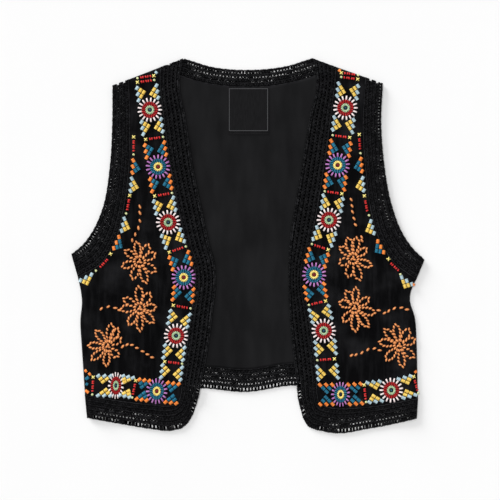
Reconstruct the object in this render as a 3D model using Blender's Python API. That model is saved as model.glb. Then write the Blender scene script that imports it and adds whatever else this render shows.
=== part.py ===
# Cropped folk vest of black velvet with wide crochet borders, laid flat on a table, front upwards.
# The back lies on the table, its lining faces up through the open front, and the two fronts lie on it.
# Lengths in the tables are millimetres. The script works in metres, with +Z up and +Y towards the neck.
# Left and right are the wearer's: the left front lies at +X.
# The tables are measured from the middle of the garment; the finished part is moved to centre its outline.
import math

import bpy
import bmesh
from mathutils import Vector

MM = 0.001

# Cloth, millimetres
VELVET_WALL = 1.6
LINING_WALL = 1.0
CROCHET_WALL = 2.4
ROW_RELIEF = 0.7
SEAM_GAP = 0.3
BACK_TUCK = 1.2

# Heights of the layers above the table, millimetres
LINING_BASE = VELVET_WALL + SEAM_GAP
FRONT_REST = LINING_BASE + LINING_WALL + SEAM_GAP
CROCHET_SEAM_REST = CROCHET_WALL + SEAM_GAP
LINING_INSET = 19.0
LINING_CLEARANCE = 0.6
SEAM_STATIONS = 2

# The fronts are longer than the back: past the back's hem they come down to the table
FALL_START = 8.0
FALL_LENGTH = 20.0

# Crochet rows across each border
FRONT_ROWS = 5
ARMHOLE_ROWS = 5
HEM_ROWS = 5
NECK_ROWS = 4

# Steps that the borders share with the panels sewn to them
FRONT_EDGE_STEPS = 32
ARMHOLE_STEPS = 19
SIDE_STEPS = 13
HEM_STEPS = 9
BACK_HEM_STEPS = 30
NECK_STEPS = 20
END_STEP = 8.0

# Move that centres the outline over the origin
CENTRING = (0.1, 1.3, 0.0)

# Woven label on the lining below the neck, folded so that its lower layer shows 3.5 mm further down
LABEL_WIDTH = 55.0
LABEL_HEIGHT = 58.0
LABEL_LAYER = 0.35
LABEL_PEEP = 3.5
LABEL_CENTRE_X = 0.6
LABEL_TOP_Y = 211.5

# Borders: name of the place, free edge x and y, velvet edge x and y
FRONT_BORDER = {
    "right": [
        ("shoulder", -88.0, 251.6, -116.8, 240.6),
        ("collar bone", -91.8, 226.5, -118.1, 227.8),
        ("upper chest", -84.0, 171.1, -112.3, 167.1),
        ("chest", -74.5, 107.7, -103.5, 103.6),
        ("lower chest", -61.4, 44.2, -90.5, 37.5),
        ("above bend", -52.0, 1.0, -80.3, -5.7),
        ("bend top", -44.6, -27.3, -71.6, -31.4),
        ("bend foot", -43.2, -48.9, -69.8, -48.9),
        ("waist", -47.2, -89.4, -75.2, -86.7),
        ("high hip", -53.1, -136.7, -81.1, -132.6),
        ("corner start", -62.8, -185.3, -87.8, -181.2),
        ("corner turn in", -69.1, -213.6, -90.2, -202.8),
        ("corner", -79.0, -237.3, -95.4, -214.3),
        ("corner turn out", -101.9, -250.6, -108.0, -218.6),
        ("mid hem", -159.3, -244.3, -157.3, -213.9),
        ("side", -217.4, -233.6, -220.3, -203.9),
    ],
    "left": [
        ("shoulder", 88.0, 251.6, 118.1, 240.6),
        ("collar bone", 91.8, 226.5, 117.7, 227.8),
        ("upper chest", 82.8, 171.1, 110.4, 167.1),
        ("chest", 72.4, 107.7, 101.7, 103.6),
        ("lower chest", 61.8, 44.2, 90.9, 38.8),
        ("above bend", 56.0, 3.7, 83.0, -1.7),
        ("bend top", 54.3, -27.3, 75.6, -27.3),
        ("bend foot", 54.5, -54.3, 74.2, -53.0),
        ("waist", 55.4, -89.4, 79.9, -86.7),
        ("high hip", 59.8, -136.7, 86.1, -132.6),
        ("corner start", 65.5, -185.3, 91.8, -181.2),
        ("corner turn in", 69.5, -216.3, 93.2, -204.2),
        ("corner", 81.0, -244.7, 97.2, -215.7),
        ("corner turn out", 104.0, -252.5, 109.4, -220.4),
        ("mid hem", 167.4, -247.7, 166.1, -219.3),
        ("side", 227.9, -232.5, 229.5, -208.2),
    ],
}

ARMHOLE_BORDER = {
    "right": [
        ("shoulder", -182.9, 215.3, -161.5, 223.2),
        ("upper", -183.3, 161.7, -160.0, 161.7),
        ("chest", -186.3, 107.7, -161.3, 105.0),
        ("scoop start", -195.1, 53.0, -168.1, 51.0),
        ("scoop", -209.2, 19.2, -179.6, 6.4),
        ("low scoop", -222.8, 0.3, -198.5, -24.6),
        ("underarm", -238.5, -13.0, -229.8, -43.5),
    ],
    "left": [
        ("shoulder", 182.0, 218.0, 159.2, 226.1),
        ("upper", 179.8, 161.7, 155.9, 157.6),
        ("chest", 184.3, 105.0, 159.3, 103.6),
        ("scoop start", 194.4, 52.3, 166.7, 45.6),
        ("scoop", 206.6, 19.2, 178.2, 6.4),
        ("low scoop", 221.4, -3.7, 198.5, -24.6),
        ("underarm", 238.3, -20.3, 227.5, -46.2),
    ],
}

NECK_BORDER = [
    ("right shoulder", -87.2, 251.8, -116.8, 240.6),
    ("right turn", -74.3, 247.8, -90.5, 228.5),
    ("right", -51.3, 240.8, -58.1, 219.0),
    ("right of centre", -24.3, 237.0, -25.7, 214.3),
    ("centre", 0.0, 236.2, 0.0, 213.5),
    ("left of centre", 24.3, 237.3, 25.7, 214.3),
    ("left", 56.7, 242.4, 61.4, 220.4),
    ("left turn", 74.3, 248.1, 91.8, 229.2),
    ("left shoulder", 87.2, 252.1, 118.1, 240.6),
]

BACK_HEM_BORDER = [
    ("right side", -217.4, -232.3, -220.3, -203.9),
    ("right hip", -175.5, -215.7, -180.9, -187.3),
    ("right dip", -125.6, -199.5, -128.3, -170.4),
    ("right of centre", -64.8, -193.9, -64.8, -164.8),
    ("centre", -2.7, -198.8, -2.7, -169.1),
    ("left of centre", 62.1, -190.1, 60.8, -161.0),
    ("left dip", 124.2, -197.4, 126.9, -168.8),
    ("left hip", 178.2, -214.3, 182.3, -186.0),
    ("left side", 227.9, -231.2, 229.5, -208.2),
]

# Side seams from the underarm down to the hem: x and y
SIDE_SEAM = {
    "right": [(-229.8, -43.5), (-226.1, -61.1), (-224.4, -75.9), (-226.5, -101.6),
              (-224.8, -135.3), (-222.5, -169.1), (-220.3, -203.9)],
    "left": [(227.5, -46.2), (221.1, -59.7), (218.7, -71.9), (225.5, -98.9),
             (227.9, -135.3), (228.7, -169.1), (229.5, -208.2)],
}

# Soft folds of the velvet: centre x and y, direction in degrees, half length, half width, height
FRONT_FOLDS = {
    "right": [
        (-128.0, 80.0, 96.0, 75.0, 17.0, 1.9),
        (-182.0, -50.0, 28.0, 52.0, 14.0, 2.4),
        (-150.0, -130.0, 84.0, 62.0, 19.0, 2.2),
        (-113.0, -52.0, 112.0, 48.0, 13.0, 1.5),
    ],
    "left": [
        (130.0, 92.0, 82.0, 70.0, 16.0, 2.1),
        (185.0, -46.0, 150.0, 50.0, 15.0, 2.2),
        (160.0, -138.0, 99.0, 58.0, 18.0, 2.4),
        (112.0, -66.0, 70.0, 44.0, 12.0, 1.4),
    ],
}

# Plain finishes: red, green, blue, roughness
VELVET = (0.0045, 0.0045, 0.0052, 0.95)
CROCHET = (0.0085, 0.0085, 0.0095, 0.85)
LINING = (0.0122, 0.0122, 0.0135, 0.55)
LABEL = (0.0060, 0.0060, 0.0066, 0.70)


def smooth(value):
    # Soft step from 0 to 1
    value = min(max(value, 0.0), 1.0)
    return value * value * (3.0 - 2.0 * value)


def curve_through(points, places):
    # Smooth curve through the points at their running places, as a function of place
    slopes = []
    for i in range(len(points) - 1):
        slopes.append((points[i + 1] - points[i]) / (places[i + 1] - places[i]))
    tangents = [slopes[0]]
    for i in range(1, len(points) - 1):
        before = places[i] - places[i - 1]
        after = places[i + 1] - places[i]
        tangents.append((slopes[i - 1] * after + slopes[i] * before) / (before + after))
    tangents.append(slopes[-1])

    def at(place):
        i = 0
        while i < len(points) - 2 and place > places[i + 1]:
            i += 1
        span = places[i + 1] - places[i]
        t = (place - places[i]) / span
        return (points[i] * (2 * t**3 - 3 * t**2 + 1)
                + tangents[i] * span * (t**3 - 2 * t**2 + t)
                + points[i + 1] * (3 * t**2 - 2 * t**3)
                + tangents[i + 1] * span * (t**3 - t**2))

    return at


def running_places(points):
    # Distance along the straight runs from point to point
    places = [0.0]
    for a, b in zip(points, points[1:]):
        places.append(places[-1] + (b - a).length)
    return places


def end_steps(count, length, at_start=True):
    # Fractions of a length: one short step at the seam, where the cloth dips, then even steps
    short = END_STEP / length
    fractions = [0.0] + [short + (1.0 - short) * i / (count - 1) for i in range(count)]
    if at_start:
        return fractions
    return [1.0 - f for f in reversed(fractions)]


def even_steps(count):
    return [i / count for i in range(count + 1)]


def border_stations(table, legs):
    # Pairs of free edge and velvet edge points along a border, in legs between named rows
    free = [Vector((row[1], row[2])) for row in table]
    velvet = [Vector((row[3], row[4])) for row in table]
    middle = [(a + b) / 2 for a, b in zip(free, velvet)]
    places = running_places(middle)
    free_at = curve_through(free, places)
    velvet_at = curve_through(velvet, places)
    names = [row[0] for row in table]
    stations = []
    for first, last, fractions in legs:
        start = places[names.index(first)]
        end = places[names.index(last)]
        for fraction in fractions[1:] if stations else fractions:
            place = start + (end - start) * fraction
            stations.append((free_at(place), velvet_at(place)))
    return stations


def leg_length(table, first, last):
    names = [row[0] for row in table]
    middle = [Vector(((row[1] + row[3]) / 2, (row[2] + row[4]) / 2)) for row in table]
    places = running_places(middle)
    return places[names.index(last)] - places[names.index(first)]


def velvet_edge(stations):
    # The edge of the panel that is sewn to a border, one seam gap away from it
    return [velvet + (velvet - free).normalized() * SEAM_GAP for free, velvet in stations]


# Stations of every border, shared with the panels
FRONT_STATIONS = {}
ARMHOLE_STATIONS = {}
for side in ("right", "left"):
    table = FRONT_BORDER[side]
    edge_length = leg_length(table, "shoulder", "corner")
    hem_length = leg_length(table, "corner", "side")
    FRONT_STATIONS[side] = border_stations(table, [
        ("shoulder", "corner", end_steps(FRONT_EDGE_STEPS, edge_length)),
        ("corner", "side", end_steps(HEM_STEPS, hem_length, at_start=False)),
    ])
    table = ARMHOLE_BORDER[side]
    armhole_length = leg_length(table, "shoulder", "underarm")
    ARMHOLE_STATIONS[side] = border_stations(table, [
        ("shoulder", "underarm", end_steps(ARMHOLE_STEPS, armhole_length)),
    ])
NECK_STATIONS = border_stations(NECK_BORDER, [
    ("right shoulder", "left shoulder", even_steps(NECK_STEPS)),
])
BACK_HEM_STATIONS = border_stations(BACK_HEM_BORDER, [
    ("right side", "left side", even_steps(BACK_HEM_STEPS)),
])


def back_hem_y(x):
    # Height on the table of the back's free hem edge at x
    edge = [free for free, velvet in BACK_HEM_STATIONS]
    for a, b in zip(edge, edge[1:]):
        if a.x <= x <= b.x:
            return a.y + (b.y - a.y) * (x - a.x) / (b.x - a.x)
    return edge[0].y if x < 0 else edge[-1].y


def front_height(point):
    # Underside of the fronts: on the lining, and down to the table past the back's hem
    past_hem = back_hem_y(point.x) - point.y
    return FRONT_REST * (1.0 - smooth((past_hem - FALL_START) / FALL_LENGTH))


def seam_dip(rest_on_seam):
    # Underside of a front border: its ends dip to the back's border, sewn to it there
    def height(point, end_distance):
        dip = 1.0 - smooth(end_distance / END_STEP)
        return front_height(point) * (1.0 - dip) + rest_on_seam * dip
    return height


def on_table(point, end_distance):
    return 0.0


def end_distances(stations, dip_at_end):
    # Distance of each station from the nearer sewn end
    middle = [(free + velvet) / 2 for free, velvet in stations]
    places = running_places(middle)
    if dip_at_end:
        return [min(place, places[-1] - place) for place in places]
    return places


def finish_material(name, finish):
    material = bpy.data.materials.new(name)
    material.use_nodes = True
    shader = material.node_tree.nodes["Principled BSDF"]
    shader.inputs["Base Color"].default_value = (*finish[:3], 1.0)
    shader.inputs["Roughness"].default_value = finish[3]
    shader.inputs["Metallic"].default_value = 0.0
    return material


def add_object(name, bm, finish):
    # One closed body from a bmesh in millimetres
    bmesh.ops.translate(bm, vec=CENTRING, verts=bm.verts)
    bmesh.ops.scale(bm, vec=(MM, MM, MM), verts=bm.verts)
    bmesh.ops.recalc_face_normals(bm, faces=bm.faces)
    mesh = bpy.data.meshes.new(name)
    bm.to_mesh(mesh)
    bm.free()
    mesh.materials.append(finish_material(name, finish))
    mesh.shade_smooth()
    mesh.set_sharp_from_angle(angle=math.radians(40))
    bpy.context.scene.collection.objects.link(bpy.data.objects.new(name, mesh))


def crochet_section(free, velvet, rows, under_steps, height):
    # Closed section across a border: one raised rib for each crochet row, over a plain underside
    section = []
    for i in range(2 * rows + 1):
        point = free.lerp(velvet, i / (2 * rows))
        relief = 0.0 if i % 2 else ROW_RELIEF
        section.append(Vector((point.x, point.y, height(point) + CROCHET_WALL - relief)))
    for i in range(under_steps, -1, -1):
        point = free.lerp(velvet, i / under_steps)
        section.append(Vector((point.x, point.y, height(point))))
    return section


def make_border(name, stations, rows, under_steps, height, dip_at_end=True, tuck=0.0):
    # Crochet border swept from section to section
    bm = bmesh.new()
    rings = []
    for (free, velvet), distance in zip(stations, end_distances(stations, dip_at_end)):
        free = free + (velvet - free).normalized() * tuck
        section = crochet_section(free, velvet, rows, under_steps,
                                  lambda point: height(point, distance))
        rings.append([bm.verts.new(point) for point in section])
    for ring, following in zip(rings, rings[1:]):
        for i in range(len(ring)):
            j = (i + 1) % len(ring)
            bm.faces.new((ring[i], ring[j], following[j], following[i]))
    bm.faces.new(rings[0])
    bm.faces.new(reversed(rings[-1]))
    add_object(name, bm, CROCHET)


def fold_height(side, point):
    # Lift of the velvet on its soft folds
    lift = 0.0
    for x, y, degrees, half_length, half_width, height in FRONT_FOLDS[side]:
        along = Vector((math.cos(math.radians(degrees)), math.sin(math.radians(degrees))))
        offset = point - Vector((x, y))
        run = offset.dot(along) / half_length
        across = offset.dot(along.orthogonal()) / half_width
        lift += height * math.exp(-across * across) * smooth(1.0 - run * run)
    return lift


def front_panel_grid(side):
    # Plan of a front between its border, shoulder seam, armhole and side seam
    border = velvet_edge(FRONT_STATIONS[side])
    front_edge = border[:FRONT_EDGE_STEPS + 1]
    hem_edge = border[FRONT_EDGE_STEPS:]
    armhole = velvet_edge(ARMHOLE_STATIONS[side])
    side_edge = armhole + side_points(side)[1:-1] + [hem_edge[-1]]
    shoulder_length = (armhole[0] - front_edge[0]).length
    across = end_steps(HEM_STEPS, shoulder_length, at_start=False)
    down = even_steps(FRONT_EDGE_STEPS)
    grid = []
    for i, v in enumerate(down):
        row = []
        for j, u in enumerate(even_steps(HEM_STEPS)):
            top = front_edge[0].lerp(armhole[0], across[j])
            bottom = hem_edge[j]
            sides = front_edge[i].lerp(side_edge[i], u)
            ends = top.lerp(bottom, v)
            corners = (front_edge[0].lerp(side_edge[0], u)).lerp(
                front_edge[-1].lerp(side_edge[-1], u), v)
            row.append(sides + ends - corners)
        grid.append(row)
    return grid


def side_points(side):
    # Even points down the side seam
    points = [Vector(point) for point in SIDE_SEAM[side]]
    places = running_places(points)
    at = curve_through(points, places)
    return [at(places[-1] * fraction) for fraction in even_steps(SIDE_STEPS)]


def make_front_panel(side):
    # Velvet front: a wall with soft folds, dipping to the back at the shoulder and side seams
    grid = front_panel_grid(side)
    rows = len(grid)
    columns = len(grid[0])
    bm = bmesh.new()
    under = []
    over = []
    for i, row in enumerate(grid):
        under_row = []
        over_row = []
        for j, point in enumerate(row):
            inside = min(i, rows - 1 - i, j, columns - 1 - j) / 2.0
            height = front_height(point) + fold_height(side, point) * smooth(inside)
            on_shoulder_seam = i == 0
            on_side_seam = j == columns - 1 and i >= ARMHOLE_STEPS
            if on_shoulder_seam or on_side_seam:
                height = LINING_BASE
            under_row.append(bm.verts.new((point.x, point.y, height)))
            over_row.append(bm.verts.new((point.x, point.y, height + VELVET_WALL)))
        under.append(under_row)
        over.append(over_row)
    for layer in (under, over):
        for i in range(rows - 1):
            for j in range(columns - 1):
                bm.faces.new((layer[i][j], layer[i][j + 1], layer[i + 1][j + 1], layer[i + 1][j]))
    rim = [(0, j) for j in range(columns)]
    rim += [(i, columns - 1) for i in range(1, rows)]
    rim += [(rows - 1, j) for j in range(columns - 2, -1, -1)]
    rim += [(i, 0) for i in range(rows - 2, 0, -1)]
    for (i, j), (k, m) in zip(rim, rim[1:] + rim[:1]):
        bm.faces.new((under[i][j], under[k][m], over[k][m], over[i][j]))
    add_object("front_panel_" + side, bm, VELVET)


def back_outline():
    # Plan of the back between its borders, once round from the right shoulder
    neck = velvet_edge(NECK_STATIONS)
    left_side = side_points("left")
    right_side = side_points("right")
    hem = velvet_edge(BACK_HEM_STATIONS)
    outline = neck
    outline += velvet_edge(ARMHOLE_STATIONS["left"]) + left_side[1:-1]
    outline += hem[::-1]
    outline += right_side[-2:0:-1] + velvet_edge(ARMHOLE_STATIONS["right"])[::-1]
    return outline


def make_sheet(name, outline, base, wall, finish):
    # Flat cloth of an outline
    bm = bmesh.new()
    face = bm.faces.new([bm.verts.new((point.x, point.y, base)) for point in outline])
    raised = bmesh.ops.extrude_face_region(bm, geom=[face])
    top = [item for item in raised["geom"] if isinstance(item, bmesh.types.BMVert)]
    bmesh.ops.translate(bm, vec=(0.0, 0.0, wall), verts=top)
    add_object(name, bm, finish)


def lining_outline():
    # The lining stops short of the borders, and further in at the shoulder and side seams
    def pull(stations):
        return [velvet + (velvet - free).normalized() * LINING_CLEARANCE
                for free, velvet in stations[SEAM_STATIONS:-SEAM_STATIONS]]

    def seam(side, inward):
        return [point + Vector((inward, 0.0)) for point in side_points(side)[1:-1]]

    outline = pull(NECK_STATIONS)
    outline += pull(ARMHOLE_STATIONS["left"]) + seam("left", -LINING_INSET)
    outline += pull(BACK_HEM_STATIONS)[::-1]
    outline += seam("right", LINING_INSET)[::-1] + pull(ARMHOLE_STATIONS["right"])[::-1]
    return outline


def make_label():
    # Folded woven label: the layer below shows as a narrow step at the foot
    left = LABEL_CENTRE_X - LABEL_WIDTH / 2
    foot = LABEL_TOP_Y - LABEL_HEIGHT
    step = foot - LABEL_PEEP
    section = [
        (LABEL_TOP_Y, FRONT_REST),
        (step, FRONT_REST),
        (step, FRONT_REST + LABEL_LAYER),
        (foot, FRONT_REST + LABEL_LAYER),
        (foot, FRONT_REST + 2 * LABEL_LAYER),
        (LABEL_TOP_Y, FRONT_REST + 2 * LABEL_LAYER),
    ]
    bm = bmesh.new()
    face = bm.faces.new([bm.verts.new((left, y, z)) for y, z in section])
    swept = bmesh.ops.extrude_face_region(bm, geom=[face])
    end = [item for item in swept["geom"] if isinstance(item, bmesh.types.BMVert)]
    bmesh.ops.translate(bm, vec=(LABEL_WIDTH, 0.0, 0.0), verts=end)
    add_object("neck_label", bm, LABEL)


for item in list(bpy.data.objects):
    bpy.data.objects.remove(item, do_unlink=True)

make_sheet("back_panel", back_outline(), 0.0, VELVET_WALL, VELVET)
make_sheet("back_lining", lining_outline(), LINING_BASE, LINING_WALL, LINING)
make_border("neck_border", NECK_STATIONS, NECK_ROWS, 2, on_table)
make_border("back_hem_border", BACK_HEM_STATIONS, HEM_ROWS, 2, on_table)
make_label()
for side in ("right", "left"):
    make_border("armhole_back_" + side, ARMHOLE_STATIONS[side], ARMHOLE_ROWS, 2, on_table,
                tuck=BACK_TUCK)
    make_border("armhole_front_" + side, ARMHOLE_STATIONS[side], ARMHOLE_ROWS, 2,
                seam_dip(CROCHET_SEAM_REST))
    make_border("front_border_" + side, FRONT_STATIONS[side], FRONT_ROWS, 5,
                seam_dip(CROCHET_SEAM_REST))
    make_front_panel(side)
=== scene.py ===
import math
import random

import bpy
import bmesh
import numpy as np
from mathutils import Matrix, Vector
from mathutils.bvhtree import BVHTree


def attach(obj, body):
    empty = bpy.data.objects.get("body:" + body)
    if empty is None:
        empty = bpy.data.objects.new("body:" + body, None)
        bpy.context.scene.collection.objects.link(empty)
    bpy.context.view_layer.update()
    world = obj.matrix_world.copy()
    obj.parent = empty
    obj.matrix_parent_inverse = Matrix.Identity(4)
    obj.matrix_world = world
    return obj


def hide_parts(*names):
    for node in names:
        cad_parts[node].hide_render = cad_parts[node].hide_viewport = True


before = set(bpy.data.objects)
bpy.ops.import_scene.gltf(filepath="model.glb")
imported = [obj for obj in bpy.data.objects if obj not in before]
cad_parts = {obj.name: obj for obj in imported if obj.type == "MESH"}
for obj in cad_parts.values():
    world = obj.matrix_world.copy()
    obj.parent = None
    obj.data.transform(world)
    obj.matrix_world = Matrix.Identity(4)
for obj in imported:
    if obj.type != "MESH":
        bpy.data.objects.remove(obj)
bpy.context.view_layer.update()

# Back neck and back hem borders
# Strips of black cotton crochet, worked row by row from the cut edge of the velvet outwards.
# Each row is a yarn that goes up and down in stitches, locked by a twisted chain along its top.
MM = 0.001
CENTRING = np.array((0.1, 1.3, 0.0))

# Place, free edge x and y, velvet edge x and y, in millimetres
NECK_EDGES = [
    ("right shoulder", -87.2, 251.8, -116.8, 240.6),
    ("right turn", -74.3, 247.8, -90.5, 228.5),
    ("right", -51.3, 240.8, -58.1, 219.0),
    ("right of centre", -24.3, 237.0, -25.7, 214.3),
    ("centre", 0.0, 236.2, 0.0, 213.5),
    ("left of centre", 24.3, 237.3, 25.7, 214.3),
    ("left", 56.7, 242.4, 61.4, 220.4),
    ("left turn", 74.3, 248.1, 91.8, 229.2),
    ("left shoulder", 87.2, 252.1, 118.1, 240.6),
]
BACK_HEM_EDGES = [
    ("right side", -217.4, -232.3, -220.3, -203.9),
    ("right hip", -175.5, -215.7, -180.9, -187.3),
    ("right dip", -125.6, -199.5, -128.3, -170.4),
    ("right of centre", -64.8, -193.9, -64.8, -164.8),
    ("centre", -2.7, -198.8, -2.7, -169.1),
    ("left of centre", 62.1, -190.1, 60.8, -161.0),
    ("left dip", 124.2, -197.4, 126.9, -168.8),
    ("left hip", 178.2, -214.3, 182.3, -186.0),
    ("left side", 227.9, -231.2, 229.5, -208.2),
]

NECK_ROWS = 4
BORDER_ROWS = 5
STITCH = 4.5
ROW = 5.6
YARN = 0.84
POST_YARN = 0.80
EYELET_YARN = 0.78
FILL_YARN = 0.98
SEAM_YARN = 1.15
BAR_YARN = 0.95
WIDE_BAR_YARN = 1.40
BAR_SIDES = 4
CHAIN_YARN = 0.62
YARN_SIDES = 5
CHAIN_LINE = 4.85
CHAIN_SWING = 0.58
CHAIN_HEIGHT = 1.62
CHAIN_LIFT = 0.30
CHAIN_RINGS = 4
STITCH_MIDDLE = STITCH / 2
LEG_TOP = 3.9
LEG_REACH = 1.95
LEG_UNEVEN = 0.12
POST_UNEVEN = 0.26
CLOSED_LEAN = 0.4
# Heights in a stitch: below the first the yarn gets full painted shade, above the second full painted
# highlight
SHADED_BELOW = 1.85
LIT_ABOVE = 2.50
CLOSED_END = 14.0

# Row by row from the free edge: shares of stitches with a slot, an eyelet and a pinhole
NECK_HOLES = ((0.10, 0.50, 0.25), (0, 0.50, 0.30), (0, 0.06, 0.30), (0, 0, 0.06))
BACK_HEM_HOLES = ((0.74, 0.16, 0.06), (0, 0.72, 0.20), (0, 0.18, 0.45), (0, 0.05, 0.40), (0, 0.03, 0.18))

# First half of each stitch: run along the row, step across the row, height, in millimetres
CLOSE_HALF = [(0, 0.05, 1.0), (1.15, 2.3, 1.6)]
CLOSE_TOP = (2.25, 4.3, 1.35)
POST_HALF = [(0, 0, 0.75), (1.4, 0.15, 0.8), (1.72, 1.6, 0.95), (1.66, 3.6, 1.0), (2.05, 4.5, 1.0)]
EYELET_HALF = [(0, 0, 0.95), (1.3, 0.15, 1.2), (1.7, 1.6, 1.5), (1.75, 4.4, 1.3)]

# Straight yarns behind a stitch: step across the row and height, at its ends and at its middle
FILL_BARS = [((0.45, 1.02), (0.35, 1.06)), ((1.95, 1.02), (1.90, 1.06)), ((3.45, 1.02), (3.40, 1.06))]
SEAM_BAR = ((-0.35, 1.25), (-0.40, 1.30))
EYELET_BAR = ((3.45, 1.45), (3.30, 1.00))
PINHOLE_BAR = ((2.85, 1.45), (2.75, 1.42))

# Slow waves of hand-worked rows: size, pace along the row, shift from row to row
TENSION_WAVES = ((0.12, 1 / 15.0, 2.2), (0.12, 1 / 6.7, 1.3))
WANDER_WAVES = ((0.20, 0.61, 2.1), (0.14, 1.37, 4.7))
LIFT_WAVES = ((0.10, 0.83, 3.3),)


def soft_step(value):
    value = np.clip(value, 0.0, 1.0)
    return value * value * (3.0 - 2.0 * value)


def running_length(points):
    # Distance along the straight runs from point to point
    steps = np.linalg.norm(np.diff(points, axis=0), axis=1)
    return np.concatenate([[0.0], np.cumsum(steps)])


def smooth_curve(points, places, at):
    # Smooth curve through the points at their running places
    points = np.asarray(points, float)
    spans = np.diff(places)[:, None]
    slopes = np.diff(points, axis=0) / spans
    inner = (slopes[:-1] * spans[1:] + slopes[1:] * spans[:-1]) / (spans[1:] + spans[:-1])
    tangents = np.vstack([slopes[:1], inner, slopes[-1:]])
    i = np.clip(np.searchsorted(places, at, side="right") - 1, 0, len(spans) - 1)
    span = spans[i]
    t = (np.asarray(at) - places[i])[:, None] / span
    return (points[i] * (2 * t**3 - 3 * t**2 + 1)
            + tangents[i] * span * (t**3 - 2 * t**2 + t)
            + points[i + 1] * (3 * t**2 - 2 * t**3)
            + tangents[i + 1] * span * (t**3 - t**2))


def read_along(places, points, at):
    return np.stack([np.interp(at, places, points[:, k]) for k in (0, 1)], -1)


class Strip:
    # A border's plan: points by the run along it and the part across, from velvet edge to free edge
    SAMPLES = 900

    def __init__(self, table):
        edges = np.array([row[1:] for row in table], float)
        places = running_length((edges[:, :2] + edges[:, 2:]) / 2)
        fine = np.linspace(0.0, places[-1], self.SAMPLES)
        edges = smooth_curve(edges, places, fine)
        self.free = edges[:, :2]
        self.velvet = edges[:, 2:]
        self.run = running_length((self.free + self.velvet) / 2)
        self.length = self.run[-1]
        named = np.interp(places, fine, self.run)
        self.place = {row[0]: run for row, run in zip(table, named)}

    def at(self, run, across):
        free = read_along(self.run, self.free, run)
        velvet = read_along(self.run, self.velvet, run)
        return velvet + (free - velvet) * np.asarray(across)[..., None]


def extrude_edges(bm, edges):
    # New points and edges of a chain or ring that is extruded
    grown = bmesh.ops.extrude_edge_only(bm, edges=edges)["geom"]
    verts = [item for item in grown if isinstance(item, bmesh.types.BMVert)]
    fresh = set(verts)
    return verts, [item for item in grown if isinstance(item, bmesh.types.BMEdge)
                   and fresh.issuperset(item.verts)]


def draw_yarn(bm, path, radii, tangents, sides, closed_ends=True):
    # Round yarn: a ring is laid at the first point and extruded from point to point
    ring = bmesh.ops.create_circle(bm, segments=sides, radius=1.0)["verts"]
    edges = list({edge for vert in ring for edge in vert.link_edges})
    ends = list(edges)
    placed = Matrix.Identity(4)
    for k, (point, radius, tangent) in enumerate(zip(path, radii, tangents)):
        if k:
            ring, edges = extrude_edges(bm, edges)
        turn = Vector(tangent).to_track_quat("Z", "Y").to_matrix().to_4x4()
        wanted = Matrix.Translation(point) @ turn @ Matrix.Scale(radius, 4)
        bmesh.ops.transform(bm, matrix=wanted @ placed.inverted(), verts=ring)
        placed = wanted
    if closed_ends:
        bmesh.ops.holes_fill(bm, edges=ends + edges, sides=0)


def path_tangents(path, repeat=None):
    # Directions of a path; one that repeats runs on into its next copy
    path = np.asarray(path, float)
    if repeat is None:
        before = np.vstack([path[:1], path[:-1]])
        after = np.vstack([path[1:], path[-1:]])
    else:
        before = np.vstack([path[-2:-1] - repeat, path[:-1]])
        after = np.vstack([path[1:], path[1:2] + repeat])
    return after - before


def take_template(bm):
    # Points, corner list and corners of each face of a small pattern piece
    bm.verts.index_update()
    points = np.array([vert.co for vert in bm.verts], float)
    corners = np.array([vert.index for face in bm.faces for vert in face.verts], int)
    counts = np.array([len(face.verts) for face in bm.faces], int)
    bm.free()
    return points, corners, counts


def draw_repeat(bm, path, radius, sides=YARN_SIDES):
    # Yarn of one stitch, which runs on into the same yarn of the next
    tangents = path_tangents(path, np.array((STITCH, 0.0, 0.0)))
    draw_yarn(bm, path, [radius] * len(path), tangents, sides, closed_ends=False)


def whole_stitch(half, *top):
    return [*half, *top, *((STITCH - run, step, height) for run, step, height in reversed(half))]


def bar_path(ends, middle):
    return [(0.0, *ends), (STITCH_MIDDLE, *middle), (STITCH, *ends)]


def stitch_template(stitch, radius, bars=(), bar_radius=BAR_YARN):
    # One stitch of a crochet row with the bars behind it and its two chain yarns
    bm = bmesh.new()
    draw_repeat(bm, stitch, radius)
    for bar in bars:
        draw_repeat(bm, bar_path(*bar), bar_radius, BAR_SIDES)
    for turn in (0.0, math.pi):
        chain = []
        for k in range(CHAIN_RINGS + 1):
            angle = 2.0 * math.pi * k / CHAIN_RINGS + turn
            chain.append((STITCH * k / CHAIN_RINGS,
                          CHAIN_LINE + CHAIN_SWING * math.sin(angle),
                          CHAIN_HEIGHT + CHAIN_LIFT * math.cos(angle)))
        draw_repeat(bm, chain, CHAIN_YARN)
    return take_template(bm)


def seam_template():
    # The first round, sewn over the velvet's edge
    bm = bmesh.new()
    draw_repeat(bm, bar_path(*SEAM_BAR), SEAM_YARN)
    return take_template(bm)


SLOT = stitch_template(whole_stitch(POST_HALF), POST_YARN)
EYELET = stitch_template(whole_stitch(EYELET_HALF), EYELET_YARN, [EYELET_BAR])
PINHOLE = stitch_template(whole_stitch(EYELET_HALF), EYELET_YARN, [PINHOLE_BAR], WIDE_BAR_YARN)
CLOSED = stitch_template(whole_stitch(CLOSE_HALF, CLOSE_TOP), YARN, FILL_BARS, FILL_YARN)
SEAM_ROUND = seam_template()


def join_copies(template, placed):
    # Points, corners and counts of many placed copies of a template
    points, corners, counts = template
    copies = len(placed)
    offsets = np.arange(copies)[:, None] * len(points)
    return placed.reshape(-1, 3), (corners[None] + offsets).ravel(), np.tile(counts, copies)


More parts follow.
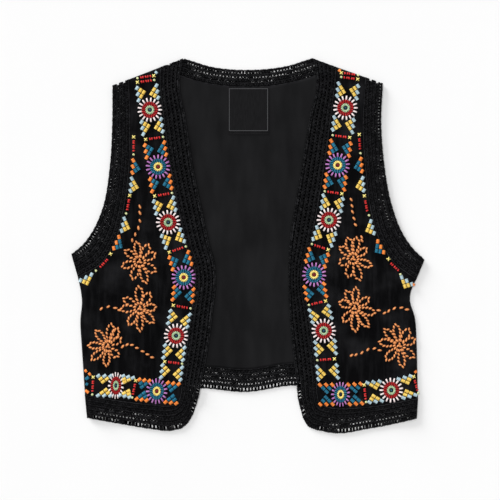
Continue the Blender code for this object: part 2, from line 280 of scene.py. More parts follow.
def build_mesh(name, parts, weld=False, rise=None):
    # One mesh in metres from joined parts in millimetres, with how far each point rises from the hollows
    points = np.vstack([part[0] for part in parts])
    shifts = np.cumsum([0] + [len(part[0]) for part in parts[:-1]])
    corners = np.concatenate([part[1] + shift for part, shift in zip(parts, shifts)])
    counts = np.concatenate([part[2] for part in parts])
    mesh = bpy.data.meshes.new(name)
    mesh.vertices.add(len(points))
    mesh.vertices.foreach_set("co", ((points + CENTRING) * MM).ravel())
    mesh.loops.add(len(corners))
    mesh.loops.foreach_set("vertex_index", corners)
    mesh.polygons.add(len(counts))
    mesh.polygons.foreach_set("loop_start", np.concatenate([[0], np.cumsum(counts)[:-1]]))
    mesh.update(calc_edges=True)
    if rise is not None:
        mesh.attributes.new("rise", "FLOAT", "POINT").data.foreach_set("value", rise)
    bm = bmesh.new()
    bm.from_mesh(mesh)
    if weld:
        bmesh.ops.remove_doubles(bm, verts=bm.verts, dist=1e-6)
        open_edges = [edge for edge in bm.edges if edge.is_boundary]
        bmesh.ops.holes_fill(bm, edges=open_edges, sides=0)
    bmesh.ops.recalc_face_normals(bm, faces=bm.faces)
    for face in bm.faces:
        face.smooth = True
    bm.to_mesh(mesh)
    bm.free()
    return mesh


class Shade:
    # A shader value that takes part in sums

    def __init__(self, tree, output=None):
        self.tree = tree
        self.output = output

    def node(self, kind, settings, sockets, output=0):
        made = self.tree.nodes.new(kind)
        for name, value in settings.items():
            setattr(made, name, value)
        for key, value in sockets.items():
            if isinstance(value, Shade):
                self.tree.links.new(value.output, made.inputs[key])
            else:
                made.inputs[key].default_value = value
        return Shade(self.tree, made.outputs[output])

    def sum(self, operation, first, second):
        return self.node("ShaderNodeMath", {"operation": operation}, {0: first, 1: second})

    def __add__(self, other):
        return self.sum("ADD", self, other)

    def __radd__(self, other):
        return self.sum("ADD", other, self)

    def __mul__(self, other):
        return self.sum("MULTIPLY", self, other)

    def __rmul__(self, other):
        return self.sum("MULTIPLY", other, self)

    def spread(self, low, high):
        # Soft limits that bring a value to the range from 0 to 1
        settings = {"interpolation_type": "SMOOTHSTEP"}
        return self.node("ShaderNodeMapRange", settings,
                         {"Value": self, "From Min": low, "From Max": high})

    def blend(self, first, second):
        # Colour between two colours, by this value
        return self.node("ShaderNodeMix", {"data_type": "RGBA"},
                         {0: self, 6: first, 7: second}, output=2)


def noise_of(place, scale, detail=2.0, stretch=(1.0, 1.0, 1.0)):
    stretched = place.node("ShaderNodeMapping", {}, {"Vector": place, "Scale": stretch})
    return place.node("ShaderNodeTexNoise", {"noise_dimensions": "3D"},
                      {"Vector": stretched, "Scale": scale, "Detail": detail})


def start_material(name, roughness, specular, sheen=0.0, sheen_roughness=0.5):
    # Cloth finish with its constants, and the place on the piece that its patterns read
    material = bpy.data.materials.new(name)
    material.use_nodes = True
    shader = material.node_tree.nodes["Principled BSDF"]
    shader.inputs["Roughness"].default_value = roughness
    shader.inputs["Specular IOR Level"].default_value = specular
    shader.inputs["Sheen Weight"].default_value = sheen
    shader.inputs["Sheen Roughness"].default_value = sheen_roughness
    start = Shade(material.node_tree)
    place = start.node("ShaderNodeTexCoord", {}, {}, output="Object")
    return material, shader, place


def feed(shader, socket, value):
    value.tree.links.new(value.output, shader.inputs[socket])


def raise_relief(shader, height, distance, strength=1.0):
    bump = height.node("ShaderNodeBump", {}, {"Strength": strength, "Distance": distance,
                                              "Height": height})
    feed(shader, "Normal", bump)


def make_crochet_finish():
    # Dyed black cotton: uneven, faintly fuzzy yarn, with painted shade in its low parts and painted
    # highlight where it stands highest
    material, shader, place = start_material("black_cotton_yarn", 0.90, 0.0)
    patch = noise_of(place, 290.0).spread(0.38, 0.66)
    fuzz = noise_of(place, 1500.0)
    painted_light_by_height = place.node("ShaderNodeAttribute", {"attribute_name": "rise"}, {}, output="Fac")
    # Painted shade in the hollows and painted highlight on the tops, by the rise, with patches of uneven
    # tone
    shade = painted_light_by_height * (patch * 0.48 + fuzz * 0.26 + 0.26)
    feed(shader, "Base Color", shade.blend((0.0003, 0.0003, 0.0004, 1), (0.0400, 0.0400, 0.0430, 1)))
    raise_relief(shader, fuzz, 0.0004, 0.8)
    return material


CROCHET_FINISH = make_crochet_finish()


def place_object(name, data):
    item = bpy.data.objects.new(name, data)
    bpy.context.scene.collection.objects.link(item)
    return item


def add_piece(name, mesh, finish, slot, *nodes):
    # A finished piece of the vest, which stands for its solids where it has them
    mesh.materials.append(finish)
    piece = place_object(name, mesh)
    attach(piece, "root")
    for node in nodes:
        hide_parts(node)
    return piece


def sway(waves, run, row):
    return sum(size * np.sin(run * pace + row * shift) for size, pace, shift in waves)


def crochet_border(name, strip, rows, height, node, holes, seed, like=None):
    # Rows of stitches along a strip, as many as in the strip it is like
    stitches = round((like or strip).length / STITCH)
    pitch = strip.length / stitches
    draw = np.random.default_rng(seed)
    parts = []
    rise = []
    for row in range(rows):
        shift = 0.5 * (row % 2)
        middles = (np.arange(stitches) + 0.5 + shift) * pitch
        chance = draw.random(stitches)
        limits = np.cumsum(holes(middles, rows - 1 - row), axis=1)
        kind = (chance[:, None] >= limits).sum(axis=1)
        apart = np.abs(sway(TENSION_WAVES, middles, row) + draw.normal(0.0, LEG_UNEVEN, stitches))
        lean = draw.normal(0.0, POST_UNEVEN, stitches)
        picked = [(template, np.flatnonzero(kind == number))
                  for number, template in enumerate((SLOT, EYELET, PINHOLE, CLOSED))]
        if row == 0:
            picked.append((SEAM_ROUND, np.arange(stitches)))
        for template, chosen in picked:
            points = template[0]
            from_middle = points[:, 0] - STITCH_MIDDLE
            moves = (points[:, 1] < LEG_TOP) & (np.abs(from_middle) < LEG_REACH)
            if template is CLOSED:
                move = CLOSED_LEAN * lean[chosen][:, None]
            else:
                move = lean[chosen][:, None] + np.sign(from_middle) * apart[chosen][:, None]
            run = (chosen[:, None] + (points[:, 0] + moves * move) / STITCH + shift) * pitch
            straight = (chosen[:, None] + points[:, 0] / STITCH + shift) * pitch
            across = (row * ROW + points[:, 1] + sway(WANDER_WAVES, straight, row)) / (rows * ROW)
            plan = strip.at(run, across)
            z = height(plan, run) + points[:, 2] + sway(LIFT_WAVES, straight, row)
            parts.append(join_copies(template, np.dstack([plan, z])))
            # How high each point stands in its stitch, which the yarn finish turns into painted shade
            # and painted highlight
            rise.append(np.tile((points[:, 2] - SHADED_BELOW) / (LIT_ABOVE - SHADED_BELOW), len(chosen)))
    rise = np.clip(np.concatenate(rise), 0.0, 1.0)
    mesh = build_mesh(name, parts, weld=True, rise=rise)
    add_piece(name, mesh, CROCHET_FINISH, "crochet", node)


def same_all_along(table, strip=None):
    # The same holes from end to end, or none towards both ends of a strip
    def holes(run, row_from_free):
        shares = np.tile(table[row_from_free], (len(run), 1))
        if strip is not None:
            from_end = np.minimum(run, strip.length - run)
            shares *= soft_step(from_end / CLOSED_END - 0.5)[:, None]
        return shares
    return holes


def on_table(plan, run):
    return np.zeros(plan.shape[:-1])


neck_strip = Strip(NECK_EDGES)
back_hem_strip = Strip(BACK_HEM_EDGES)
crochet_border("neck_crochet", neck_strip, NECK_ROWS, on_table, "neck_border",
               same_all_along(NECK_HOLES, neck_strip), seed=11)
crochet_border("back_hem_crochet", back_hem_strip, BORDER_ROWS, on_table, "back_hem_border",
               same_all_along(BACK_HEM_HOLES, back_hem_strip), seed=12)

# Armhole borders
# A ring of the same black crochet round each armhole, five rows worked outwards from the velvet.
# Laid flat, its back half lies on the table under its front half, joined at shoulder and underarm.
ARMHOLE_EDGES = {
    "right": [
        ("shoulder", -182.9, 215.3, -161.5, 223.2),
        ("upper", -183.3, 161.7, -160.0, 161.7),
        ("chest", -186.3, 107.7, -161.3, 105.0),
        ("scoop start", -195.1, 53.0, -168.1, 51.0),
        ("scoop", -209.2, 19.2, -179.6, 6.4),
        ("low scoop", -222.8, 0.3, -198.5, -24.6),
        ("underarm", -238.5, -13.0, -229.8, -43.5),
    ],
    "left": [
        ("shoulder", 182.0, 218.0, 159.2, 226.1),
        ("upper", 179.8, 161.7, 155.9, 157.6),
        ("chest", 184.3, 105.0, 159.3, 103.6),
        ("scoop start", 194.4, 52.3, 166.7, 45.6),
        ("scoop", 206.6, 19.2, 178.2, 6.4),
        ("low scoop", 221.4, -3.7, 198.5, -24.6),
        ("underarm", 238.3, -20.3, 227.5, -46.2),
    ],
}
FRONT_REST = 3.2
FRONT_HEM_REST = 0.8
CROCHET_SEAM_REST = 2.7
END_STEP = 8.0
FALL_START = 8.0
FALL_LENGTH = 20.0
BACK_TUCK = 1.2
SIDES = ("right", "left")
CLOSED_ROWS = ((0, 0, 0), (0, 0, 0))
FEW_HOLES = ((0, 0.06, 0.16), (0, 0.10, 0.30), (0, 0.03, 0.18), *CLOSED_ROWS)
EDGE_ROW_HOLES = ((0.25, 0.60, 0.10), (0, 0.05, 0.20), (0, 0.02, 0.10), *CLOSED_ROWS)
SECOND_ROW_HOLES = ((0, 0.05, 0.25), (0, 0.36, 0.50), (0, 0.05, 0.20), *CLOSED_ROWS)
ARMHOLE_HOLES = {
    "right": [("shoulder", FEW_HOLES), ("upper", FEW_HOLES), ("chest", SECOND_ROW_HOLES),
              ("scoop start", SECOND_ROW_HOLES), ("scoop", EDGE_ROW_HOLES),
              ("low scoop", EDGE_ROW_HOLES), ("underarm", FEW_HOLES)],
    "left": [("shoulder", FEW_HOLES), ("shoulder", EDGE_ROW_HOLES), ("upper", EDGE_ROW_HOLES),
             ("chest", FEW_HOLES), ("scoop start", SECOND_ROW_HOLES), ("scoop", FEW_HOLES),
             ("underarm", FEW_HOLES)],
}
ARMHOLE_BACK_HOLES = ((1, 0, 0), (1, 0, 0), (1, 0, 0), *CLOSED_ROWS)


def front_height(plan):
    # Underside of the fronts: on the lining, and down to the table past the back's hem
    hem = back_hem_strip.free
    past_hem = np.interp(plan[..., 0], hem[:, 0], hem[:, 1]) - plan[..., 1]
    fall = soft_step((past_hem - FALL_START) / FALL_LENGTH)
    return FRONT_REST * (1.0 - fall) + FRONT_HEM_REST * fall


def holes_by_place(strip, tables):
    # Shares of holes that drift from table to table between named places
    places = [strip.place[place] for place, table in tables]

    def holes(run, row_from_free):
        shares = np.transpose([table[row_from_free] for place, table in tables])
        return np.stack([np.interp(run, places, share) for share in shares], -1)
    return holes


def dipping_ends(strip):
    # Height of a front strip whose ends dip to the back's border, sewn to it there
    def height(plan, run):
        end = np.minimum(run, strip.length - run)
        dip = 1.0 - soft_step(end / END_STEP)
        return front_height(plan) * (1.0 - dip) + CROCHET_SEAM_REST * dip
    return height


def tucked(table):
    # Edges of the hidden back half, a little inside the front half
    rows = []
    for place, *edges in table:
        free, velvet = Vector(edges[:2]), Vector(edges[2:])
        rows.append((place, *(free + (velvet - free).normalized() * BACK_TUCK), *velvet))
    return rows


armhole_strip = {}
for side in SIDES:
    strip = armhole_strip[side] = Strip(ARMHOLE_EDGES[side])
    crochet_border("armhole_back_crochet_" + side, Strip(tucked(ARMHOLE_EDGES[side])),
                   BORDER_ROWS, on_table, "armhole_back_" + side,
                   same_all_along(ARMHOLE_BACK_HOLES), seed=21, like=strip)
    crochet_border("armhole_front_crochet_" + side, strip, BORDER_ROWS, dipping_ends(strip),
                   "armhole_front_" + side, holes_by_place(strip, ARMHOLE_HOLES[side]), seed=21)

# Velvet back
# One flat piece of black pile velvet, the whole back of the vest, pile down on the table.
# Its raw edges are turned under the first chain of the crochet borders.

# Side seams, from the underarm to the hem
SIDE_SEAM = {
    "right": [(-229.8, -43.5), (-226.1, -61.1), (-224.4, -75.9), (-226.5, -101.6), (-224.8, -135.3),
              (-222.5, -169.1), (-220.3, -203.9)],
    "left": [(227.5, -46.2), (221.1, -59.7), (218.7, -71.9), (225.5, -98.9), (227.9, -135.3),
             (228.7, -169.1), (229.5, -208.2)],
}
VELVET_WALL = 1.6
EDGE_GAP = 0.25
BACK_GRID = 60


def edge_points(strip, first, last, count, gap=EDGE_GAP):
    # Even points along a strip's velvet edge, a little way into the velvet
    run = np.linspace(strip.place[first], strip.place[last], count)
    edge = strip.at(run, np.zeros(count))
    outward = strip.at(run, np.ones(count)) - edge
    outward /= np.linalg.norm(outward, axis=1)[:, None]
    return edge - outward * gap


def side_points(side, count):
    seam = np.array(SIDE_SEAM[side])
    places = running_length(seam)
    return smooth_curve(seam, places, np.linspace(0.0, places[-1], count))


def resample(points, count):
    places = running_length(points)
    return read_along(places, points, np.linspace(0.0, places[-1], count))


def fill_patch(top, bottom, start, end):
    # Plan of a panel between its four edges, row by row from top to bottom
    u = np.linspace(0.0, 1.0, len(top))[None, :, None]
    v = np.linspace(0.0, 1.0, len(start))[:, None, None]
    sides = start[:, None] * (1 - u) + end[:, None] * u
    ends = top[None] * (1 - v) + bottom[None] * v
    corners = ((top[0] * (1 - u) + top[-1] * u) * (1 - v)
               + (bottom[0] * (1 - u) + bottom[-1] * u) * v)
    return sides + ends - corners


def finish_mesh(bm, name):
    mesh = bpy.data.meshes.new(name)
    bm.to_mesh(mesh)
    bm.free()
    return mesh


def sheet_mesh(name, plan, height):
    # Cloth sheet from a grid, its points moved onto the plan and the height, face up
    rows, columns = plan.shape[:2]
    bm = bmesh.new()
    bmesh.ops.create_grid(bm, x_segments=columns - 1, y_segments=rows - 1, size=1.0)
    for vert in bm.verts:
        i = round((1.0 - vert.co.y) / 2.0 * (rows - 1))
        j = round((vert.co.x + 1.0) / 2.0 * (columns - 1))
        vert.co = (np.array((*plan[i, j], height[i, j])) + CENTRING) * MM
    bm.normal_update()
    if sum(face.normal.z for face in bm.faces) < 0.0:
        bmesh.ops.reverse_faces(bm, faces=bm.faces)
    for face in bm.faces:
        face.smooth = True
    return finish_mesh(bm, name)


def give_wall(piece, wall, offset=-1.0):
    # The sheet is the upper face, and the wall grows down from it
    solidify = piece.modifiers.new("wall", "SOLIDIFY")
    solidify.thickness = wall * MM
    solidify.offset = offset


def add_sheet(name, plan, height, wall, finish, slot, *nodes):
    piece = add_piece(name, sheet_mesh(name, plan, height), finish, slot, *nodes)
    give_wall(piece, wall)
    return piece


def make_velvet_finish():
    # Short black pile: deep matte black, with brushed streaks where the pile leans another way
    material, shader, place = start_material("black_velvet", 0.95, 0.02, 0.16, 0.35)
    blotch = noise_of(place, 26.0, 3.0).spread(0.42, 0.74)
    streak = noise_of(place, 60.0, 3.0, (3.2, 0.45, 1.0)).spread(0.40, 0.72)
    pile = noise_of(place, 2600.0, 1.0)
    nap = blotch * 0.55 + streak * 0.25 + pile * 0.20
    feed(shader, "Base Color", nap.blend((0.0010, 0.0010, 0.0012, 1), (0.0150, 0.0150, 0.0165, 1)))
    raise_relief(shader, pile + streak * 0.3, 0.0005, 0.6)
    return material


VELVET_FINISH = make_velvet_finish()


def outer_edge(side, count, gap=EDGE_GAP):
    # Outer edge of the back or a front: down the armhole and the side seam to the hem
    armhole = edge_points(armhole_strip[side], "shoulder", "underarm", count, gap)
    return resample(np.vstack([armhole, side_points(side, count)[1:]]), count)


def back_patch(gap, count):
    # Plan of the whole back between neck, armholes, sides and hem
    neck = edge_points(neck_strip, "right shoulder", "left shoulder", count, gap)
    right = outer_edge("right", count, gap)
    left = outer_edge("left", count, gap)
    top = resample(np.vstack([right[:1], neck, left[:1]]), count)
    hem = edge_points(back_hem_strip, "right side", "left side", count, gap)
    hem[0] = right[-1]
    hem[-1] = left[-1]
    return fill_patch(top, hem, right, left)


back_plan = back_patch(EDGE_GAP, BACK_GRID)
back_top = np.full(back_plan.shape[:2], VELVET_WALL)
velvet_back = add_sheet("velvet_back", back_plan, back_top, VELVET_WALL, VELVET_FINISH, "velvet",
                        "back_panel")

# Lining of the back
# Smooth charcoal lining, slip-stitched inside the crochet borders, with a faint cross-grain sheen and
# soft stretched streaks of painted fold sheen in its colour.
# It shows in the open front, where it lies on the velvet back in a few very low ripples.
LINING_GAP = 0.8
LINING_WALL = 0.6
LINING_TOP = 2.55
LINING_SEAM_INSET = 22.0
HALF_WIDTH = 229.0
LINING_GRID = 136

# Ripples: centre x and y, direction in degrees, half length, half width, height in millimetres
LINING_RIPPLES = [
    (-38.0, 60.0, 98.0, 120.0, 9.0, 0.50),
    (-60.0, 95.0, 108.0, 40.0, 5.0, 0.60),
    (-8.0, 10.0, 84.0, 95.0, 13.0, 0.40),
    (34.0, 70.0, 80.0, 120.0, 8.0, 0.50),
    (18.0, -95.0, 104.0, 70.0, 12.0, 0.50),
    (-27.0, -98.0, 110.0, 52.0, 4.6, 0.90),
    (-36.0, -130.0, 70.0, 50.0, 7.0, 0.40),
    (2.0, 130.0, 6.0, 60.0, 12.0, 0.34),
]


def toward(degrees):
    return np.array((math.cos(math.radians(degrees)), math.sin(math.radians(degrees))))


def quarter_turn(direction):
    return np.array((-direction[1], direction[0]))


def low_folds(plan, folds):
    # Soft ridges, each a table row
    lift = np.zeros(plan.shape[:-1])
    for x, y, degrees, half_length, half_width, height in folds:
        along = toward(degrees)
        offset = plan - np.array((x, y))
        run = offset @ along / half_length
        across = offset @ quarter_turn(along) / half_width
        lift += height * np.exp(-across**2) * soft_step(1.0 - run**2)
    return lift


def make_lining_finish():
    # Fine satin weave: smooth, slightly glossy, with a barely seen grain across the body, and streaks of
    # painted sheen as from soft folds
    material, shader, place = start_material("charcoal_lining", 0.60, 0.03)
    cloud = noise_of(place, 14.0, 3.0).spread(0.3, 0.7)
    # Stretched streaks of painted sheen, as light along low folds
    painted_fold_sheen = noise_of(place, 30.0, 2.0, (1.6, 0.45, 1.0)).spread(0.32, 0.68)
    grain = noise_of(place, 1400.0, 2.0, (0.25, 1.0, 1.0))
    shade = cloud * 0.4 + painted_fold_sheen * 0.4 + grain * 0.2
    feed(shader, "Base Color", shade.blend((0.0052, 0.0052, 0.0057, 1), (0.0130, 0.0130, 0.0139, 1)))
    feed(shader, "Roughness", cloud * 0.08 + 0.56)
    raise_relief(shader, grain, 0.0002, 0.35)
    return material


lining_plan = back_patch(LINING_GAP, LINING_GRID)
toward_seams = np.abs(np.linspace(-1.0, 1.0, LINING_GRID)) ** 6
lining_plan[..., 0] *= 1.0 - LINING_SEAM_INSET / HALF_WIDTH * toward_seams
lining_top = LINING_TOP + low_folds(lining_plan, LINING_RIPPLES)
lining = add_sheet("lining", lining_plan, lining_top, LINING_WALL, make_lining_finish(), "lining",
                   "back_lining")

# Neck label
# A black woven ribbon label, folded at the top and stitched to the lining under the neck border.
# Its lower layer shows as a second edge; a thin grey line is woven round it, and its face is bare.
LABEL_WIDTH = 55.0
LABEL_X = 0.6
LABEL_TOP = 212.4
LABEL_FOOT = 152.4
LABEL_PEEP = 3.5
LABEL_WALL = 0.30
LABEL_UNDER = 3.05
LABEL_OVER = 3.45
LABEL_STEPS = 14
LABEL_BEND = 0.6
LABEL_SEWN = 8.0
LABEL_SWELL = (30.0, 0.05)
LABEL_LINE = 0.7
LABEL_LINE_INSET = 1.3
LABEL_LINE_RISE = 0.32
LABEL_LINE_WALL = 0.26


def make_label_finish():
    # Tight damask ribbon, ribbed across
    material, shader, place = start_material("label_ribbon", 0.75, 0.06)
    rib = noise_of(place, 900.0, 1.0, (1.0, 0.12, 1.0))
    feed(shader, "Base Color", rib.blend((0.0042, 0.0042, 0.0046, 1), (0.0116, 0.0116, 0.0126, 1)))
    raise_relief(shader, rib, 0.0002, 0.5)
    return material


def make_label_line_finish():
    # Grey weft thread
    material, shader, place = start_material("label_grey_thread", 0.70, 0.15)
    fleck = noise_of(place, 1600.0)
    feed(shader, "Base Color", fleck.blend((0.045, 0.045, 0.048, 1), (0.105, 0.105, 0.110, 1)))
    raise_relief(shader, fleck, 0.0002, 0.5)
    return material


def label_mesh():
    # The ribbon runs up under itself, over the fold and down to the foot
    swell_run, swell_rise = LABEL_SWELL
    profile = [(LABEL_FOOT - LABEL_PEEP, LABEL_UNDER), (LABEL_FOOT + LABEL_SEWN, LABEL_UNDER),
               (LABEL_TOP - LABEL_BEND, LABEL_UNDER), (LABEL_TOP, (LABEL_UNDER + LABEL_OVER) / 2),
               (LABEL_TOP - LABEL_BEND, LABEL_OVER), (LABEL_FOOT + swell_run, LABEL_OVER + swell_rise),
               (LABEL_FOOT, LABEL_OVER)]
    bm = bmesh.new()
    first = LABEL_X - LABEL_WIDTH / 2
    verts = [bm.verts.new((first, y, z)) for y, z in profile]
    edges = [bm.edges.new(pair) for pair in zip(verts, verts[1:])]
    step = Vector((LABEL_WIDTH / LABEL_STEPS, 0.0, 0.0))
    for column in range(LABEL_STEPS):
        fresh, edges = extrude_edges(bm, edges)
        bmesh.ops.translate(bm, vec=step, verts=fresh)
    bmesh.ops.translate(bm, vec=CENTRING, verts=bm.verts)
    bmesh.ops.scale(bm, vec=(MM, MM, MM), verts=bm.verts)
    bmesh.ops.recalc_face_normals(bm, faces=bm.faces)
    return finish_mesh(bm, "label")


def label_line_frame():
    # The woven line: a flat frame a little inside the label's outline
    bm = bmesh.new()
    bmesh.ops.create_grid(bm, x_segments=1, y_segments=1, size=0.5)
    wide = LABEL_WIDTH - 2 * LABEL_LINE_INSET
    tall = LABEL_TOP - LABEL_FOOT - 2 * LABEL_LINE_INSET
    bmesh.ops.scale(bm, vec=(wide, tall, 1.0), verts=bm.verts)
    middle = (LABEL_X, (LABEL_TOP + LABEL_FOOT) / 2, LABEL_OVER + LABEL_LINE_RISE)
    bmesh.ops.translate(bm, vec=middle, verts=bm.verts)
    field = bm.faces[:]
    bmesh.ops.inset_region(bm, faces=field, thickness=LABEL_LINE, use_boundary=True,
                           use_even_offset=True)
    bmesh.ops.delete(bm, geom=field, context="FACES_ONLY")
    lower = bmesh.ops.extrude_face_region(bm, geom=bm.faces[:])["geom"]
    bmesh.ops.translate(bm, vec=(0.0, 0.0, -LABEL_LINE_WALL),
                        verts=[item for item in lower if isinstance(item, bmesh.types.BMVert)])
    bmesh.ops.recalc_face_normals(bm, faces=bm.faces)
    return take_template(bm)


label = add_piece("neck_label_ribbon", label_mesh(), make_label_finish(), "label", "neck_label")
give_wall(label, LABEL_WALL, offset=0.0)
line_mesh = build_mesh("neck_label_line", [label_line_frame()])
line_mesh.shade_flat()
add_piece("neck_label_line", line_mesh, make_label_line_finish(), "label")

# Velvet fronts
# Two fronts of the same velvet with rounded hem corners, lined, pressed and a little creased by wear.
# They lie on the lining, sewn to the back at shoulders and sides, and fall to the table past its hem.
FRONT_EDGES = {
    "right": [
        ("shoulder", -88.0, 251.6, -116.8, 240.6),
        ("collar bone", -91.8, 226.5, -118.1, 227.8),
        ("upper chest", -84.0, 171.1, -112.3, 167.1),
        ("chest", -74.5, 107.7, -103.5, 103.6),
        ("lower chest", -61.4, 44.2, -90.5, 37.5),
        ("above bend", -52.0, 1.0, -80.3, -5.7),
        ("bend top", -44.6, -27.3, -71.6, -31.4),
        ("bend foot", -43.2, -48.9, -69.8, -48.9),
        ("waist", -47.2, -89.4, -75.2, -86.7),
        ("high hip", -53.1, -136.7, -81.1, -132.6),
        ("corner start", -62.8, -185.3, -87.8, -181.2),
        ("corner turn in", -69.1, -213.6, -90.2, -202.8),
        ("corner", -79.0, -237.3, -95.4, -214.3),
        ("corner foot", -87.0, -246.2, -101.0, -217.2),
        ("corner turn out", -101.9, -250.8, -109.5, -218.6),
        ("low hem", -129.6, -249.0, -131.5, -216.6),
        ("mid hem", -159.3, -244.3, -157.3, -213.9),
        ("side", -217.4, -233.6, -220.3, -203.9),
    ],
    "left": [
        ("shoulder", 88.0, 251.6, 118.1, 240.6),
        ("collar bone", 91.8, 226.5, 117.7, 227.8),
        ("upper chest", 82.8, 171.1, 110.4, 167.1),
        ("chest", 72.4, 107.7, 101.7, 103.6),
        ("lower chest", 61.8, 44.2, 90.9, 38.8),
        ("above bend", 56.0, 3.7, 83.0, -1.7),
        ("bend top", 54.3, -27.3, 75.6, -27.3),
        ("bend foot", 54.5, -54.3, 74.2, -53.0),
        ("waist", 55.4, -89.4, 79.9, -86.7),
        ("high hip", 59.8, -136.7, 86.1, -132.6),
        ("corner start", 65.5, -185.3, 91.8, -181.2),
        ("corner turn in", 69.5, -216.3, 93.2, -204.2),
        ("corner", 81.0, -244.7, 97.2, -215.7),
        ("corner turn out", 104.0, -252.5, 109.4, -220.4),
        ("mid hem", 167.4, -247.7, 166.1, -219.3),
        ("side", 227.9, -234.8, 229.5, -208.2),
    ],
}

# Soft folds: centre x and y, direction in degrees, half length, half width, height in millimetres
FRONT_FOLDS = {
    "right": [
        (-128.0, 80.0, 96.0, 75.0, 17.0, 1.9),
        (-182.0, -50.0, 28.0, 52.0, 14.0, 2.4),
        (-150.0, -130.0, 84.0, 62.0, 19.0, 2.2),
        (-113.0, -52.0, 112.0, 48.0, 13.0, 1.5),
    ],
    "left": [
        (130.0, 92.0, 82.0, 70.0, 16.0, 2.1),
        (185.0, -46.0, 150.0, 50.0, 15.0, 2.2),
        (160.0, -138.0, 99.0, 58.0, 18.0, 2.4),
        (112.0, -66.0, 70.0, 44.0, 12.0, 1.4),
    ],
}

# Small creases, in the same columns: ridges, and troughs where the height is less than nothing
FRONT_CREASES = {
    "right": [
        (-163.0, 62.0, 66.0, 30.0, 3.6, 0.7),
        (-170.0, 40.0, 60.0, 26.0, 3.0, -0.6),
        (-207.0, -58.0, 96.0, 30.0, 3.4, 0.8),
        (-214.0, -96.0, 86.0, 34.0, 3.6, -0.7),
        (-198.0, -104.0, 82.0, 26.0, 3.2, 0.7),
        (-208.0, -152.0, 97.0, 30.0, 3.6, 0.8),
        (-176.0, -104.0, 74.0, 24.0, 3.2, -0.6),
        (-125.0, -20.0, 104.0, 26.0, 3.0, 0.5),
        (-122.0, -104.0, 98.0, 28.0, 3.2, -0.5),
        (-138.0, 128.0, 92.0, 34.0, 3.4, 0.6),
        (-187.0, -168.0, 90.0, 20.0, 3.0, 0.6),
    ],
    "left": [
        (164.0, 70.0, 108.0, 34.0, 3.6, 0.8),
        (172.0, 30.0, 118.0, 28.0, 3.2, -0.6),
        (172.0, -30.0, 96.0, 34.0, 3.4, 0.8),
        (186.0, -14.0, 102.0, 26.0, 3.0, -0.6),
        (192.0, -62.0, 88.0, 36.0, 3.4, 0.8),
        (204.0, -70.0, 94.0, 30.0, 3.2, -0.7),
        (215.0, -120.0, 88.0, 32.0, 3.4, 0.8),
        (178.0, -108.0, 100.0, 24.0, 3.2, 0.6),
        (119.0, -12.0, 82.0, 26.0, 3.0, 0.5),
        (124.0, -108.0, 86.0, 26.0, 3.2, -0.5),
        (136.0, 140.0, 86.0, 32.0, 3.4, 0.6),
    ],
}
FRONT_ROWS = 151
FRONT_COLUMNS = 53
FOLD_ROWS = 32.0
FOLD_COLUMNS = 9.0
SEAM_FALL = 8.0
SEAM_BASE = 1.9
UNDERARM_SHARE = 0.66
EDGE_ROLL = 0.45
LOWEST_CREASE = -0.2
FOLD_RIM = 2.0
CREASE_RIM = 0.7


def front_sheet(side):
    # Plan and upper height of a front
    strip = front_strip[side]
    front_edge = edge_points(strip, "shoulder", "corner", FRONT_ROWS)
    hem_edge = edge_points(strip, "corner", "side", FRONT_COLUMNS)
    outer = outer_edge(side, FRONT_ROWS)
    outer[-1] = hem_edge[-1]
    top = resample(np.vstack([front_edge[:1], outer[:1]]), FRONT_COLUMNS)
    plan = fill_patch(top, hem_edge, front_edge, outer)
    v = np.linspace(0.0, 1.0, FRONT_ROWS)[:, None]
    u = np.linspace(0.0, 1.0, FRONT_COLUMNS)[None, :]
    inside = np.minimum(np.minimum(v, 1.0 - v) * FOLD_ROWS, np.minimum(u, 1.0 - u) * FOLD_COLUMNS)
    folds = low_folds(plan, FRONT_FOLDS[side]) * soft_step(inside / FOLD_RIM)
    creases = low_folds(plan, FRONT_CREASES[side]) * soft_step(inside / CREASE_RIM)
    height = front_height(plan) + np.maximum(folds + creases, LOWEST_CREASE)
    down = running_length(outer)[:, None]
    from_side = np.linalg.norm(plan - outer[:, None], axis=2)
    below_arm = soft_step((v - UNDERARM_SHARE) * FOLD_ROWS)
    seam = np.maximum(1.0 - soft_step(down / SEAM_FALL),
                      (1.0 - soft_step(from_side / SEAM_FALL)) * below_arm)
    height = height * (1.0 - seam) + SEAM_BASE * seam + VELVET_WALL
    rim = (np.minimum(v, 1.0 - v) == 0.0) | (np.minimum(u, 1.0 - u) == 0.0)
    return plan, height - EDGE_ROLL * rim


front_strip = {side: Strip(FRONT_EDGES[side]) for side in SIDES}
velvet_surface = {}
for side in SIDES:
    velvet_front = add_sheet("velvet_front_" + side, *front_sheet(side), VELVET_WALL,
                             VELVET_FINISH, "velvet", "front_panel_" + side)
    surface = bmesh.new()
    surface.from_mesh(velvet_front.data)
    velvet_surface[side] = BVHTree.FromBMesh(surface)
    surface.free()

# Front borders
# The widest crochet, in one strip down the front edge, round the corner and along the hem. It is
# sewn through to the back's borders at shoulder and side; a near-black sheet under its open rows is
# painted shade for its holes.
EDGE_HOLES = ((0, 0.15, 0.50), (0, 0.95, 0.05), (0, 1, 0), (0, 0.95, 0.05), (0, 0.90, 0.10))
CORNER_HOLES = ((0.55, 0.10, 0.10), (0, 0, 0.20), (0, 0, 0), *CLOSED_ROWS)
HEM_HOLES = ((0.54, 0.18, 0.10), (0, 0.70, 0.15), (0, 0.06, 0.40), (0, 0, 0.06), (0, 0, 0))
CORNER_CLOSED = 11.0
CORNER_BLEND = 16.0
HEM_CLOSED_END = 22.0
# A near-black sheet under each front border's open rows: painted shade for the holes of the crochet
SHADE_SHEET_LOW = 2.85
SHADE_SHEET_WALL = 0.2
SHADE_SHEET_ACROSS = np.linspace(0.06, 0.94, 7)
SHADE_SHEET_STEPS = 60


